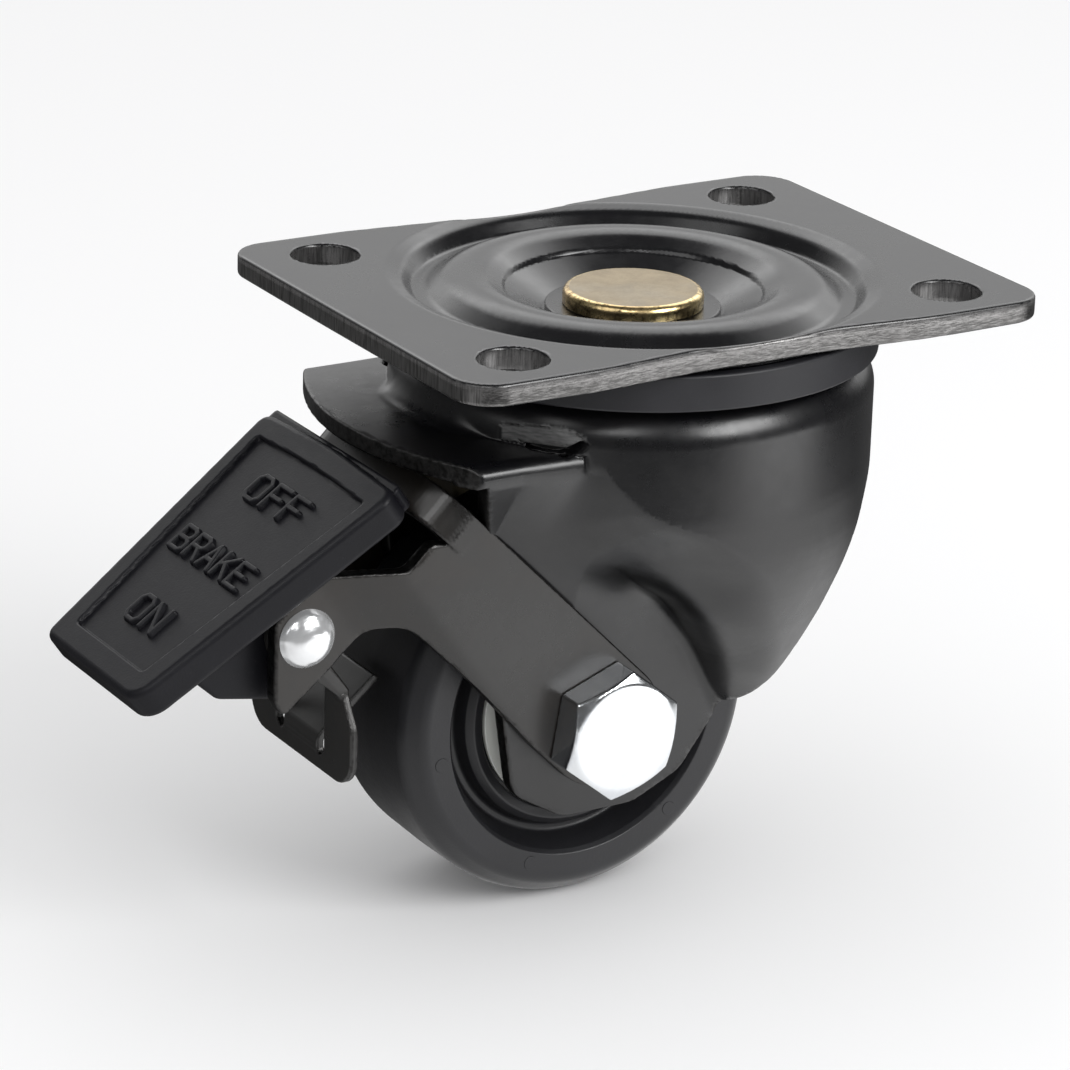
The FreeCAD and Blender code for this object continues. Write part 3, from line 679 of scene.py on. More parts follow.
# =====================================================================================
# fork
# =====================================================================================
WALL = [(39.3, -30.0, 40.0), (38.6, -38.4, 40.0), (36.9, -44.6, 40.0), (34.7, -51.0, 40.0), (32.4, -56.7, 40.0), (30.5, -61.0, 40.0), (28.5, -65.0, 30.0)]
cup_rz = Poly([(-70, -10.8), (39.3, -10.8, 6.0)] + WALL + [(24.5, -76), (-70, -76)], step=2)
cup_front = Poly([(-46, 20), (90, 20), (90, -120), (16.0, -90), (6.5, -67.2), (1.3, -57.5, 20), (-3.6, -51.0, 20), (-7.3, -46.4, 15), (-14.6, -39.0, 12), (-20.6, -34.6, 6),
                  (-24.2, -29.8, 6), (-25.4, -24.0, 20), (-26.1, -18.2), (-46, -18.2)])
leg_back = Poly([(-90, 20), (-16, 20), (-14, -26.5), (-9, -34.5), (-3, -42), (3, -49.5), (8, -57.5), (13.0, -66.5), (16, -130), (-90, -130)])
trim_xz = Poly([(-70, 5), (60, 5), (60, -25.5), (45, -25.5, 0.0), (34.5, -28.5, 8.0), (29.2, -33.0, 10.0), (26.8, -38.4, 30.0), (23.7, -44.6, 30.0),
                (20.0, -51.0, 30.0), (16.2, -56.7, 30.0), (13.0, -61.0, 20.0), (10.2, -65.5, 6.0), (7.6, -68.6, 3.0), (7.2, -71.5, 3.0), (1.0, -80.0, 6.0),
                (-8.0, -84.2, 8.0), (-21.0, -84.2, 8.0), (-30.6, -78.5, 5.0), (-32.4, -67.0, 10.0), (-35.0, -50.0, 10.0), (-37.8, -32.0, 4.0),
                (-42.8, -21.2, 0.0), (-70, -21.2)])
# lanced slit between the crown's skirt and the bent-down side: the skirt's cut edge stands upright above the hood,
# and the slit opens right through at its rear end
band_xz = Poly([(-39.5, -17.0), (-37.2, -15.9, 2.0), (-34.5, -15.1, 8.0), (-31.2, -14.4, 6.0), (-29.1, -14.05, 2.0), (-27.4, -14.4, 1.2), (-25.9, -15.6, 0.5),
                (-26.6, -16.7), (-27.8, -17.3), (-39.5, -17.3)])
slit_xz = Poly([(-32.6, -17.45, 0.3), (-27.9, -17.35, 0.5), (-26.0, -15.75, 0.3), (-25.75, -16.2, 0.3), (-26.7, -17.8, 0.5), (-28.5, -18.35, 0.6), (-32.6, -18.1, 0.2)])


def leg_side(x, y, z):
    """The leg stands flat beside the wheel and opens out to the hood above the bracket arm's upper edge."""
    ay = np.abs(y)
    foot = np.clip(-71.5 - x, -50.0, -35.0)
    tall = -19.0 - foot
    q = soft_pos((z - foot) / tall, 0.28) - 0.04
    side = (ay - 18.0 - 12.3 * q) / np.sqrt(1 + (12.3 / tall * smooth01(z, foot - 2, foot + 4)) ** 2)
    return both(both(side, ay - 30.3, 1.6), z + 17.7, 4.2)


def fork_outer(x, y, z):
    ay = np.abs(y)
    r = np.sqrt(x * x + y * y)
    cup, leg, w = cup_rz(r, z), leg_side(x, y, z), cup_front(x, z)
    phi = np.arctan2(ay, -x)
    top = either(both(cup, w, 0.6), np.maximum(leg, leg_back(x, z)), 0.25 + 3.2 * (1 - smooth01(phi, 0.22, 0.45)))
    # below the hood the drawn shell swells out of the leg, softly at first and as a steep wall towards the wing's tip
    wide = 2.5 + 18.0 * smooth01(-z, 17.0, 37.0) - 6.0 * smooth01(-z, 40.0, 60.0)
    t = np.clip((-w + 0.42 * wide) / wide, 0, 1)
    g = t * t * (3 - 2 * t)
    ramp = (leg * (1 - g) + cup * g) / np.sqrt(1 + (13.0 * 6 * t * (1 - t) / wide) ** 2)
    lean = 0.10 - 0.04 * smooth01(-z, 50.0, 62.0)
    wall = either(both(cup, cup_front(x - lean * np.maximum(ay - 18.0, 0), z), 8.5), leg, 1.8)
    k = smooth01(-z, 38.0, 50.0)
    m = smooth01(-z, 18.8, 21.0)
    return top * (1 - m) + (ramp * (1 - k) + wall * k) * m


def fork_trims(x, y, z):
    return both(trim_xz(x, z), np.sqrt(x * x + y * y) - 52.8, 0.3)


def fork_slit(x, y, z):
    ay = np.abs(y)
    r = np.sqrt(x * x + y * y)
    ring = np.maximum(37.0 - r, r - 40.3 - 0.9 * smooth01(z, -17.9, -16.6))
    well = np.maximum(np.maximum(np.abs(x + 30.0) - 2.2, np.abs(z + 19.0) - 1.6), np.maximum(np.maximum(38.3 - r, r - 40.2), ay - 27.3))
    return np.minimum(np.maximum(np.maximum(slit_xz(x, z), ring), 20.0 - ay), well)


def fork_band(x, y, z):
    ay = np.abs(y)
    start = 5.0 * (1 - smooth01(np.arctan2(ay, -x), 0.28, 0.54))
    r = np.sqrt(x * x + y * y)
    return np.maximum(np.maximum(38.45 + start - r, r - 41.0), np.maximum(band_xz(x, z), ay - 36.0))


def fork_field(x, y, z):
    o = fork_outer(x, y, z)
    d = both(o, -(o + 3.0))
    d = both(d, fork_trims(x, y, z), 0.45)
    r = np.sqrt(x * x + y * y)
    d = less(d, fork_band(x, y, z), 0.2)
    d = less(d, fork_slit(x, y, z), 0.25)
    d = less(d, r - 12.2, 0.3)
    d = less(d, np.sqrt((r - 26.5) ** 2 + (z + 7.41) ** 2) - 4.03, 0.2)
    d = less(d, np.sqrt((r - 15.6) ** 2 + (z + 16.42) ** 2) - 3.225, 0.2)
    return less(d, np.sqrt((x - AX_X) ** 2 + (z - AX_Z) ** 2) - 6.05, 0.3)


def fork_edge(x, y, z):
    return (np.abs(fork_trims(x, y, z)) < 0.22).astype(float)


def fork_cut_face_sheen_mask(x, y, z):
    """The skirt's own cut face above the slit: the mask for its painted reflection, a light grey over the bare cut
    metal.
    """
    r = np.sqrt(x * x + y * y)
    return ((np.abs(fork_band(x, y, z)) < 0.2) & (r < 39.1)) * smooth01(x, -38.5, -34.5)


# the cut mask carries a painted reflection: light grey on the skirt's cut face
sculpt("fork_shell", fork_field, (-54, -41, -86), (41, 41, -9.6), 0.79, M_FORK, "fork", ["fork"], attrs={"edge": fork_edge, "cut": fork_cut_face_sheen_mask},
       fine=(((-40, -24, 0.44),), ((-33, -20, 0.52), (20, 33, 0.52)), ((-20.2, -12.8, 0.42),)))

# =====================================================================================
# wheel
# =====================================================================================
BRG = 10.2
half = [(14.0, 0.0), (14.0, BRG + 0.05), (17.6, BRG + 0.05), (17.6, 11.6, 0.4), (19.2, 12.0, 0.5), (20.4, 11.0, 0.5),
        (21.2, 8.6, 0.8), (22.6, 8.6, 0.8), (24.2, 13.2, 0.8), (24.8, 14.0, 0.35), (29.4, 14.0, 2.6), (32.3, 10.8, 3.6), (32.5, 0.0, 30.0)]
wheel_prof = [p for p in half] + [((p[0], -p[1]) if len(p) == 2 else (p[0], -p[1], p[2])) for p in reversed(half[1:-1])]


def mark(side, k):
    """A moulded ejector mark, a shallow raised disc on the wheel's face."""
    a = math.radians(9.7 + 60 * k)
    cx, cz = AX_X + 26.6 * math.cos(a), AX_Z + 26.6 * math.sin(a)
    prof = turned_profile([(0, 0.10), (1.15, 0.10, 0.05), (1.24, -0.08)], False, 25, 0.03)
    seg = 32
    V, N, F = [], [], []
    ang = np.linspace(0, 2 * math.pi, seg, endpoint=False)
    V.append((0, 0, 0.10)); N.append((0, 0, 1))
    for r, h, nr, nh in prof[1:]:
        for t in ang:
            V.append((r * math.cos(t), r * math.sin(t), h)); N.append((nr * math.cos(t), nr * math.sin(t), nh))
    for s in range(seg):
        F.append([0, 1 + s, 1 + (s + 1) % seg])
    for i in range(len(prof) - 2):
        for s in range(seg):
            t = (s + 1) % seg
            F.append([1 + i * seg + s, 1 + (i + 1) * seg + s, 1 + (i + 1) * seg + t, 1 + i * seg + t])
    V, N = np.array(V, float), np.array(N, float)
    if N[1 + seg][2] < 0:
        N = -N
    if side > 0:
        V = np.stack([V[:, 0] + cx, V[:, 2] + 14.0, -V[:, 1] + cz], 1)
        N = np.stack([N[:, 0], N[:, 2], -N[:, 1]], 1)
    else:
        V = np.stack([V[:, 0] + cx, -V[:, 2] - 14.0, V[:, 1] + cz], 1)
        N = np.stack([N[:, 0], -N[:, 2], N[:, 1]], 1)
    return V, N, F


turned("wheel_moulding", wheel_prof, M_WHEEL, "wheel", ["wheel"], axis="y", at=(AX_X, AX_Z), closed=True, seg=224, step=12,
       extra=[mark(s, k) for s in (-1, 1) for k in range(6)])
for side, s in (("near", -1), ("far", 1)):
    turned("spacer_disc_" + side, [(6.05, s * BRG), (8.2, s * BRG), (8.2, s * 10.55), (17.0, s * 10.55), (17.0, s * 11.55), (9.2, s * 11.55), (9.2, s * 14.98), (6.05, s * 14.98)],
           M_NYLON, "fork", ["hub_spacer_" + side], axis="y", at=(AX_X, AX_Z), closed=True, seg=96)

# =====================================================================================
# brake bracket
# =====================================================================================
BR_OUT, BR_T, EAR_OUT = 20.85, 2.8, 16.5


def on_arm(t, d):
    return (AX_X - 0.7071 * t + 0.7071 * d, AX_Z + 0.7071 * t + 0.7071 * d)


AH = 10.4
arm_xz = Poly([on_arm(0, AH), on_arm(46.2, AH), on_arm(46.2, 4.2), on_arm(48.6, 2.6) + (1.6,), on_arm(48.6, -3.0) + (2.4,),
               on_arm(53.0, -7.2) + (5.0,), (-64.4, -35.7, 2.0), (-71.6, -40.6, 3.0), (-73.0, -42.2, 1.0), (-73.0, -55.0, 2.0), (-71.6, -58.0, 1.2),
               (-64.0, -51.8, 2.0), (-57.5, -45.6, 5.0), (-51.0, -45.6, 6.0), (-46.2, -50.2, 3.0), on_arm(24, -9.3) + (20.0,), on_arm(8, -AH), on_arm(0, -AH)])
U_TY = Poly([(-60, -(BR_OUT - 1.4)), (52.0, -(BR_OUT - 1.4), 6.0), (52.0, BR_OUT - 1.4, 6.0), (-60, BR_OUT - 1.4)], step=7)


def arm_t(x, z):
    return (-0.7071 * (x - AX_X) + 0.7071 * (z - AX_Z))


def arm_d(x, z):
    return (0.7071 * (x - AX_X) + 0.7071 * (z - AX_Z))


def bracket_parts(x, y, z):
    ay = np.abs(y)
    s = 0.8192 * x + 0.5736 * z
    yc = (BR_OUT - 1.4) - 0.435 * (soft_pos(-63.6 - s, 2.2) - soft_pos(-73.6 - s, 2.2))
    slope = 0.917 + 0.083 * (smooth01(s, -64.6, -61.6) + 1 - smooth01(s, -75.6, -72.6))
    sheet = np.abs((ay - yc) * slope) - 1.4
    side = np.minimum(arm_xz(x, z), np.sqrt((x - AX_X) ** 2 + (z - AX_Z) ** 2) - AH)
    t, d = arm_t(x, z), arm_d(x, z)
    u = np.abs(U_TY(t, y)) - 1.4
    strip = np.maximum(np.abs(d - 7.3) - 3.1, 43.0 - t)
    return sheet, side, u, strip


def bracket_field(x, y, z):
    sheet, side, u, strip = bracket_parts(x, y, z)
    side = less(side, np.sqrt((x - AX_X) ** 2 + (z - AX_Z) ** 2) - 6.0)
    side = less(side, np.sqrt((x - PIV_X) ** 2 + (z - PIV_Z) ** 2) - 3.05)
    return np.minimum(both(sheet, side, 0.4), both(u, strip, 0.4))


def bracket_edge(x, y, z):
    sheet, side, u, strip = bracket_parts(x, y, z)
    a = (np.abs(side) < 0.2) & (sheet < 0.1)
    b = (np.abs(strip) < 0.2) & (u < 0.1) & (arm_t(x, z) > 44)
    return (a | b).astype(float)


sculpt("bracket_sheet", bracket_field, (-74.5, -21.6, -79.5), (-4, 21.6, -22), 0.5, M_BRKT, "fork", ["brake_bracket"], attrs={"edge": bracket_edge})

# =====================================================================================
# pedal pin
# =====================================================================================
turned("pedal_rivet", [(0, -19.1), (1.6, -18.95, 5), (3.1, -18.45, 5), (4.2, -17.6, 2.2), (4.85, -16.6, 0.4), (4.7, -16.35), (3.0, -16.35), (3.0, 16.52),
                       (4.3, 16.52), (4.0, 17.3, 0.5), (2.4, 17.8, 1.0), (0, 17.9)],
       M_RIVET, "fork", ["pedal_pin"], axis="y", at=(PIV_X, PIV_Z), seg=96, step=8)

# =====================================================================================
# axle bolt, washer and nut
# =====================================================================================
def hex_dist(x, z, af, turn):
    d = None
    for k in range(3):
        a = math.radians(60 - turn + 60 * k)
        v = np.abs(x * math.cos(a) + z * math.sin(a)) - af / 2
        d = v if d is None else both(d, v, 0.18)
    return d


def bolt_field(x, y, z):
    px, pz = x - AX_X, z - AX_Z
    r = np.sqrt(px * px + pz * pz)
    hx = hex_dist(px, pz, 19.0, 9.0)
    head = both(hx, np.maximum(-26.95 - y, y + 20.85), 0.15)
    cone = (r - 9.05) * 0.5 - (y + 26.95) * 0.866
    head = both(head, cone, 0.25)
    shank = both(r - 5.93, np.maximum(-22.0 - y, y - 31.5), 0.6)
    return np.minimum(head, shank)


def bolt_face(x, y, z):
    r = np.hypot(x - AX_X, z - AX_Z)
    return ((y < -26.8) & (r < 9.1)).astype(float)


sculpt("axle_bolt_hex", bolt_field, (AX_X - 11.6, -27.6, AX_Z - 11.6), (AX_X + 11.6, 32.2, AX_Z + 11.6), 0.36, M_BOLT, "fork", ["axle_bolt"],
       attrs={"face": bolt_face})
turned("axle_washer_ring", [(6.18, 20.85), (11.8, 20.85, 0.25), (11.8, 22.65, 0.25), (6.18, 22.65)], M_NUT, "fork", ["axle_washer"],
       axis="y", at=(AX_X, AX_Z), closed=True, seg=128)


def nut_field(x, y, z):
    px, pz = x - AX_X, z - AX_Z
    r = np.sqrt(px * px + pz * pz)
    d = both(hex_dist(px, pz, 19.0, 21.0), np.maximum(22.65 - y, y - 30.45), 0.15)
    d = both(d, (r - 9.2) * 0.5 + (y - 30.45) * 0.866, 0.25)
    d = both(d, (r - 9.4) * 0.5 - (y - 22.65) * 0.866, 0.25)
    return less(d, r - 5.98, 0.3)


sculpt("axle_nut_hex", nut_field, (AX_X - 11.6, 22.0, AX_Z - 11.6), (AX_X + 11.6, 31.2, AX_Z + 11.6), 0.36, M_NUT, "fork", ["axle_nut"])

# =====================================================================================
# pedal
# =====================================================================================
PT, PB = np.array([-54.9, -21.7]), np.array([-97.0, -50.5])
PLEN = float(np.hypot(*(PB - PT)))
E = (PB - PT) / PLEN
NV = np.array([E[1], -E[0]])
HT, HB, PTH = 21.6, 15.8, 5.6
slab_sy = Poly([(0.2, -HT, 3.0), (PLEN, -HB, 4.2), (PLEN, HB, 2.2), (0.2, HT, 2.2), (-0.9, 0, 90)], step=6)
panel_sy = Poly([(4.4, -HT + 4.0, 0.9), (PLEN - 4.6, -HB + 4.2, 0.9), (PLEN - 4.6, HB - 4.2, 0.9), (4.4, HT - 4.0, 0.9), (3.7, 0, 90)], step=6)
ledge_sy = Poly([(-1.6, -HT + 2.6, 1.5), (9.0, -HT + 3.2, 0.4), (9.0, HT + 0.2, 0.4), (-1.6, HT + 0.6, 0.5)])
hub_xz = Poly([(-58.5, -28.5), (-61.5, -38.5, 2.0), (-61.0, -47.0, 5.0), (-66.0, -52.0, 4.0), (-68.2, -57.2, 1.5), (-80.4, -55.0, 3.0), (-88.5, -47.0), (-86.0, -45.0)])


def pedal_field(s, y, n):
    d = both(slab_sy(s, y), np.maximum(n, -PTH - n), 1.1)
    led = both(ledge_sy(s, y), np.maximum(n + 1.5, -PTH - n), 0.3)
    d = either(d, led, 0.15)
    d = less(d, np.maximum(panel_sy(s, y), -0.8 - n), 0.28)
    x, z = PT[0] + E[0] * s + NV[0] * n, PT[1] + E[1] * s + NV[1] * n
    hub = both(hub_xz(x, z), np.abs(y) - 11.6, 0.6)
    d = either(d, hub, 0.5)
    return less(d, np.sqrt((x - PIV_X) ** 2 + (z - PIV_Z) ** 2) - 3.06, 0.1)


def ped_row(V, N, Q):
    W = np.stack([PT[0] + E[0] * V[:, 0] + NV[0] * V[:, 2], V[:, 1], PT[1] + E[1] * V[:, 0] + NV[1] * V[:, 2]], 1)
    M = np.stack([E[0] * N[:, 0] + NV[0] * N[:, 2], N[:, 1], E[1] * N[:, 0] + NV[1] * N[:, 2]], 1)
    # (s, y, n) to (x, y, z): keep faces outward
    det = np.linalg.det(np.array([[E[0], 0, NV[0]], [0, 1, 0], [E[1], 0, NV[1]]]))
    return W, M, (Q if det > 0 else Q[:, ::-1])


sculpt("pedal_body", pedal_field, (-2.6, -23, -23.5), (PLEN + 1.2, 23, 0.9), 0.47, M_PEDAL, "pedal", ["brake_pedal"], to_row=ped_row)

# raised letters, drawn as strokes on a 4 x 6 cell: x to the right, y up
GLYPH = {
    "O": [[(0.9, 0), (0, 1.1), (0, 4.9), (0.9, 6), (3.1, 6), (4, 4.9), (4, 1.1), (3.1, 0), (0.9, 0)]],
    "F": [[(0, 0), (0, 6), (3.9, 6)], [(0, 3.1), (3.2, 3.1)]],
    "B": [[(0, 0), (0, 6), (3.0, 6), (3.9, 5.3), (3.9, 3.9), (3.0, 3.15), (0, 3.15)], [(3.0, 3.15), (4, 2.4), (4, 0.8), (3.0, 0), (0, 0)]],
    "R": [[(0, 0), (0, 6), (3.0, 6), (3.9, 5.3), (3.9, 3.7), (3.0, 3.0), (0, 3.0)], [(2.2, 3.0), (4, 0)]],
    "A": [[(0, 0), (2.0, 6), (4, 0)], [(0.75, 2.2), (3.25, 2.2)]],
    "K": [[(0, 0), (0, 6)], [(3.9, 6), (0.1, 2.6)], [(1.3, 3.7), (4, 0)]],
    "E": [[(3.9, 0), (0, 0), (0, 6), (3.9, 6)], [(0, 3.1), (3.2, 3.1)]],
    "N": [[(0, 0), (0, 6), (4, 0), (4, 6)]],
}


def word(name, text, s_mid, size_w, size_h, gap):
    """Letters read with their tops towards the pedal's upper edge."""
    segs = []
    n = len(text)
    total = n * size_w + (n - 1) * gap
    for i, ch in enumerate(text):
        y0 = total / 2 - i * (size_w + gap)
        for line in GLYPH[ch]:
            for a, b in zip(line, line[1:]):
                segs.append(((s_mid + size_h / 2 - a[1] / 6 * size_h, y0 - a[0] / 4 * size_w), (s_mid + size_h / 2 - b[1] / 6 * size_h, y0 - b[0] / 4 * size_w)))

    def stroke(s, y):
        d = 1e9
        for (a0, a1), (b0, b1) in segs:
            ex, ey = b0 - a0, b1 - a1
            wx, wy = s - a0, y - a1
            t = np.clip((wx * ex + wy * ey) / (ex * ex + ey * ey), 0, 1)
            d = np.minimum(d, np.sqrt((wx - ex * t) ** 2 + (wy - ey * t) ** 2))
        return d - 0.46

    def f(s, y, n):
        return both(stroke(s, y) + 0.25 * (n + 0.3), np.maximum(n + 0.06, -1.0 - n), 0.16)

    return sculpt(name, f, (s_mid - size_h / 2 - 1.2, -total / 2 - 1.2, -1.3), (s_mid + size_h / 2 + 1.2, total / 2 + 1.2, 0.3), 0.19, M_PEDAL, "pedal",
                  to_row=ped_row)


word("letters_off", "OFF", 11.6, 4.1, 4.8, 1.6)
word("letters_brake", "BRAKE", 25.2, 3.45, 4.5, 1.25)
word("letters_on", "ON", 38.4, 3.7, 4.9, 1.6)

# =====================================================================================
# brake shoe
# =====================================================================================
SX, ST, WIN = -59.8, 1.4, 8.0


def thick_line(P, a, b, half):
    d = 1e9
    for p, q in zip(P, P[1:]):
        ex, ey = q[0] - p[0], q[1] - p[1]
        wx, wy = a - p[0], b - p[1]
        t = np.clip((wx * ex + wy * ey) / (ex * ex + ey * ey), 0, 1)
        d = np.minimum(d, np.sqrt((wx - ex * t) ** 2 + (wy - ey * t) ** 2))
    return d - half


def bent(pts, step=14):
    """Open bent line with rounded corners."""
    out = [pts[0][:2]]
    for i in range(1, len(pts) - 1):
        got = corner_arc(pts[i - 1][:2], pts[i][:2], pts[i + 1][:2], pts[i][2])
        out += sample_arc(*got, step)
    out.append(pts[-1][:2])
    return out


front_line = bent([(SX + 0.7, -76.0), (SX + 0.7, -57.0, 2.2), (-63.4, -52.0)])
tongue_line = bent([(SX + 0.7, -72.0), (SX + 0.7, -67.6, 1.6), (-49.4, -59.3)])
shoe_yz = Poly([(-13.4, -50.0), (13.4, -50.0), (13.4, -57.0, 2.0), (16.9, -62.4, 4.0), (16.9, -72.4, 5.0), (-16.9, -72.4, 5.0), (-16.9, -62.4, 4.0), (-13.4, -57.0, 2.0)])
win_yz = Poly([(-WIN, -40.0), (WIN, -40.0), (WIN, -68.9, 0.6), (WIN - 1.5, -70.1, 0.6), (WIN - 3.0, -68.9, 0.5), (-WIN + 3.0, -68.9, 0.5), (-WIN + 1.5, -70.1, 0.6), (-WIN, -68.9, 0.6)])
cheek_xz = Poly([(-62.2, -51.0), (-60.2, -54.0), (SX + ST, -56.8), (SX, -57.6), (-64.5, -53.8, 1.0), (-71.2, -50.8, 4.0), (-73.2, -45.2, 5.0), (-69.8, -39.8, 4.5), (-63.2, -40.2, 4.0), (-60.8, -46.0, 3.0)])


def shoe_parts(x, y, z):
    ay = np.abs(y)
    sheet = thick_line(front_line, x, z, 0.7)
    side = less(shoe_yz(y, z), win_yz(y, z))
    ton = thick_line(tongue_line, x, z, 0.7)
    ch = np.abs(ay - 12.7) - 0.7
    return sheet, side, ton, ay - (WIN - 2.4), ch, cheek_xz(x, z)


def shoe_field(x, y, z):
    sheet, side, ton, tw, ch, cx = shoe_parts(x, y, z)
    a = both(sheet, side, 0.25)
    b = both(ton, np.maximum(tw, -69.6 - z), 0.25)
    c = both(ch, cx, 0.25)
    d = either(either(a, c, 0.9), b, 0.3)
    return less(d, np.sqrt((x - PIV_X) ** 2 + (z - PIV_Z) ** 2) - 3.06, 0.1)


def shoe_edge(x, y, z):
    sheet, side, ton, tw, ch, cx = shoe_parts(x, y, z)
    a = (np.abs(side) < 0.2) & (np.abs(sheet) < 0.55) & (sheet < -0.1)
    return a.astype(float)


sculpt("shoe_sheet", shoe_field, (-75.5, -17.6, -73.2), (-46.5, 17.6, -38), 0.32, M_SHOE, "shoe", ["brake_shoe"], attrs={"edge": shoe_edge})

# =====================================================================================
# floor, light and camera
# =====================================================================================
me = bpy.data.meshes.new("floor")
S = 3.0
me.from_pydata([(-S, -S, FLOOR_Z * MM - 0.0002), (S, -S, FLOOR_Z * MM - 0.0002), (S, S, FLOOR_Z * MM - 0.0002), (-S, S, FLOOR_Z * MM - 0.0002)], [], [(0, 1, 2, 3)])
floor = bpy.data.objects.new("floor", me)
bpy.context.scene.collection.objects.link(floor)
kf = Mat("floor_pale", (0.93, 0.93, 0.935), rough=0.9)
kf.b.inputs["Specular IOR Level"].default_value = 0.0
# reflections see a pool of light in front of the part that falls off behind it, as on a lit table
def lobe(cx, cy, r0, r1, lo, hi):
    d = kf.node("ShaderNodeVectorMath", operation="DISTANCE")
    kf.link(kf.co, d.inputs[0])
    d.inputs[1].default_value = (cx, cy, FLOOR_Z * MM)
    n = kf.node("ShaderNodeMapRange", interpolation_type="SMOOTHSTEP")
    kf.link(d.outputs["Value"], n.inputs["Value"])
    for key, v in (("From Min", r0), ("From Max", r1), ("To Min", lo), ("To Max", hi)):
        n.inputs[key].default_value = v
    return n.outputs[0]


pool = kf.math("ADD", kf.math("ADD", lobe(0.10, -0.135, 0.06, 0.19, 0.70, 0.0), lobe(-0.24, -0.12, 0.04, 0.15, 0.60, 0.0)), lobe(0.0, -0.08, 0.06, 0.21, 0.95, 0.12))
pool = kf.math("ADD", pool, lobe(0.24, -0.32, 0.12, 0.20, 2.4, 0.0))
# painted shadow: the reflected pool is darkened in a spot beside the wheel, where the part would shade the table
pool = kf.math("MULTIPLY", pool, lobe(-0.06, 0.06, 0.03, 0.09, 0.15, 1.0))
glow = kf.node("ShaderNodeEmission")
kf.link(pool, glow.inputs["Strength"])
path = kf.node("ShaderNodeLightPath")
pick = kf.node("ShaderNodeMixShader")
kf.link(path.outputs["Is Glossy Ray"], pick.inputs[0])
kf.link(kf.b.outputs[0], pick.inputs[1])
kf.link(glow.outputs[0], pick.inputs[2])
kf.link(pick.outputs[0], kf.out.inputs[0])
me.materials.append(kf.m)

scene = bpy.context.scene
world = bpy.data.worlds.new("studio")
scene.world = world
world.use_nodes = True
wt = world.node_tree
wt.nodes.clear()


def wn(kind, **kw):
    n = wt.nodes.new(kind)
    for k2, v in kw.items():
        setattr(n, k2, v)
    return n


def wsmooth(sock, a, b, lo, hi):
    n = wn("ShaderNodeMapRange", interpolation_type="SMOOTHSTEP")
    wt.links.new(sock, n.inputs["Value"])
    for key, v in (("From Min", a), ("From Max", b), ("To Min", lo), ("To Max", hi)):
        n.inputs[key].default_value = v
    return n.outputs[0]


def wmath(op, a, b):
    n = wn("ShaderNodeMath", operation=op)
    for i, v in enumerate((a, b)):
        if isinstance(v, (int, float)):
            n.inputs[i].default_value = v
        else:
            wt.links.new(v, n.inputs[i])
    return n.outputs[0]


def patch(az, el, half_w, half_h, soft, radiance):
    """A soft-edged lit panel of the studio, seen at azimuth az and elevation el, half sizes as sines."""
    a, e = math.radians(az), math.radians(el)
    n = (math.cos(a) * math.cos(e), math.sin(a) * math.cos(e), math.sin(e))
    u = (-math.sin(a), math.cos(a), 0.0)
    v = (-math.cos(a) * math.sin(e), -math.sin(a) * math.sin(e), math.cos(e))
    dots = []
    for w in (n, u, v):
        d = wn("ShaderNodeVectorMath", operation="DOT_PRODUCT")
        wt.links.new(tc.outputs["Generated"], d.inputs[0])
        d.inputs[1].default_value = w
        dots.append(d.outputs["Value"])
    fu = wsmooth(wmath("ABSOLUTE", dots[1], 0.0), half_w, half_w + soft, 1, 0)
    fv = wsmooth(wmath("ABSOLUTE", dots[2], 0.0), half_h, half_h + soft, 1, 0)
    return wmath("MULTIPLY", wmath("MULTIPLY", wsmooth(dots[0], 0.0, 0.2, 0, radiance), fu), fv)


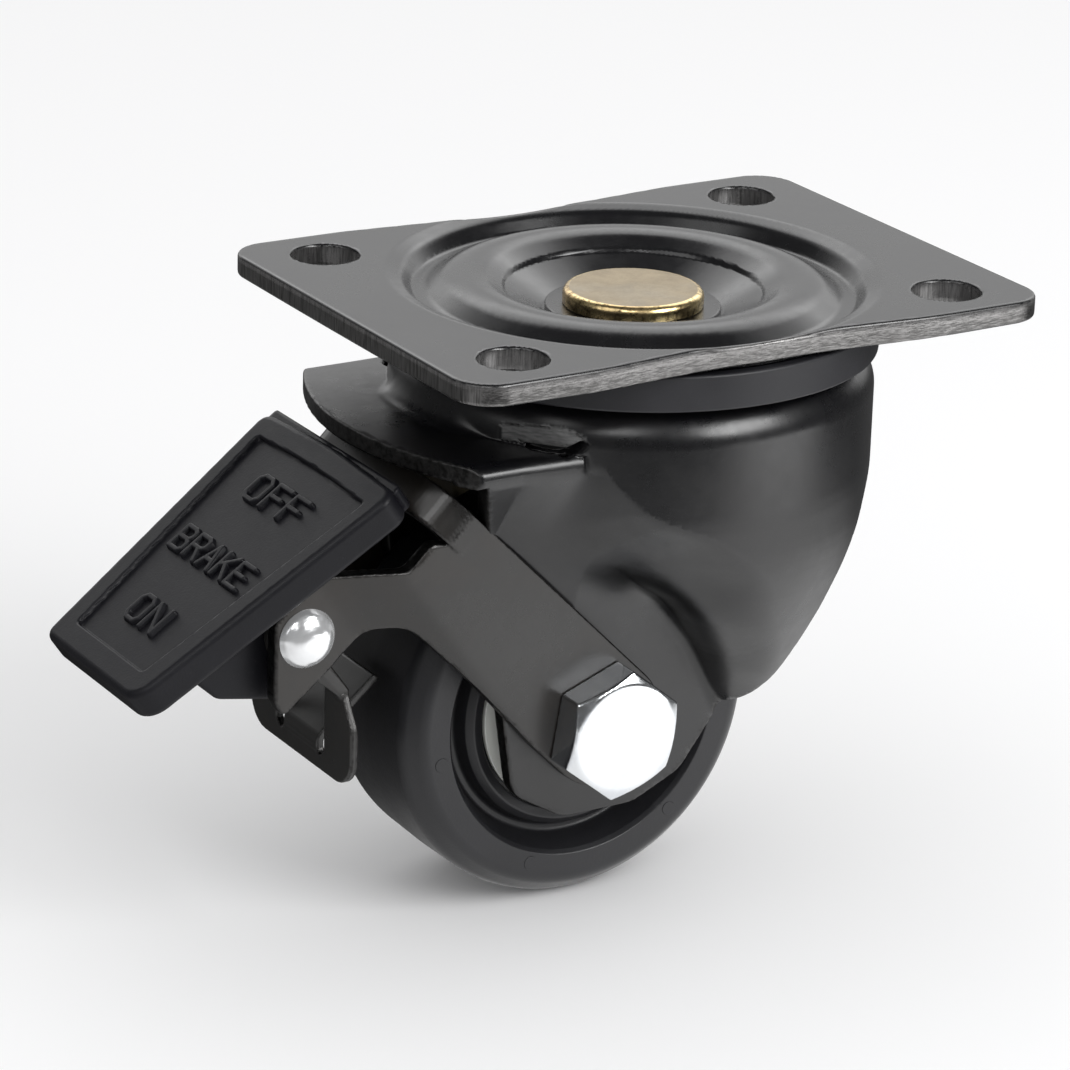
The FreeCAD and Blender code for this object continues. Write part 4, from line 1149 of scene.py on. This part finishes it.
tc = wn("ShaderNodeTexCoord")
env = patch(55, 17, 0.50, 0.20, 0.22, 1.0)
for p in (patch(55, 44, 0.38, 0.18, 0.20, 2.4), patch(-129, 39, 0.10, 0.10, 0.12, 6.0), patch(-170, 38, 0.16, 0.30, 0.15, 1.8),
          patch(-64, 30, 0.22, 0.16, 0.16, 5.0), patch(95, 24, 0.14, 0.20, 0.20, 0.9), patch(25, 24, 0.14, 0.20, 0.20, 0.7)):
    env = wmath("ADD", env, p)
env = wmath("ADD", env, 0.13)
b_glossy, b_all = wn("ShaderNodeBackground"), wn("ShaderNodeBackground")
wt.links.new(env, b_glossy.inputs["Strength"])
b_all.inputs["Strength"].default_value = 1.13
lp, wmix, wo = wn("ShaderNodeLightPath"), wn("ShaderNodeMixShader"), wn("ShaderNodeOutputWorld")
wt.links.new(lp.outputs["Is Glossy Ray"], wmix.inputs[0])
wt.links.new(b_all.outputs[0], wmix.inputs[1])
wt.links.new(b_glossy.outputs[0], wmix.inputs[2])
wt.links.new(wmix.outputs[0], wo.inputs[0])


def softbox(name, az, el, dist, size, radiance, size_y=None, roll=0.0):
    L = bpy.data.lights.new(name, "AREA")
    L.shape = "RECTANGLE"
    L.size, L.size_y = size, size_y or size
    L.energy = radiance * math.pi * L.size * L.size_y
    o = bpy.data.objects.new(name, L)
    scene.collection.objects.link(o)
    a, e = math.radians(az), math.radians(el)
    loc = Vector((math.cos(a) * math.cos(e), math.sin(a) * math.cos(e), math.sin(e))) * dist
    o.location = loc
    turn = (Vector((0, 0, -0.04)) - loc).to_track_quat("-Z", "Y").to_matrix() @ Matrix.Rotation(math.radians(roll), 3, "Z")
    o.rotation_euler = turn.to_euler()
    return o


softbox("box_key", -65, 32, 1.15, 0.75, 6.0, 0.40, roll=45)

cam = bpy.data.cameras.new("photo")
cam.lens, cam.sensor_width = 155.338, 36.0
cam.clip_start, cam.clip_end = 0.01, 20
co = bpy.data.objects.new("photo", cam)
scene.collection.objects.link(co)
Rv, Uv, Bv = Vector((0.8602703, -0.5091016, 0.02739668)), Vector((0.1539336, 0.31059124, 0.93799655)), Vector((-0.48604472, -0.8027133, 0.34556026))
m = Matrix.Identity(4)
for i in range(3):
    m[i][0], m[i][1], m[i][2] = Rv[i], Uv[i], Bv[i]
m[0][3], m[1][3], m[2][3] = -0.37964175, -0.59874236, 0.21564019
co.matrix_world = m
scene.camera = co
scene.view_settings.view_transform = "Standard"
scene.view_settings.look = "None"

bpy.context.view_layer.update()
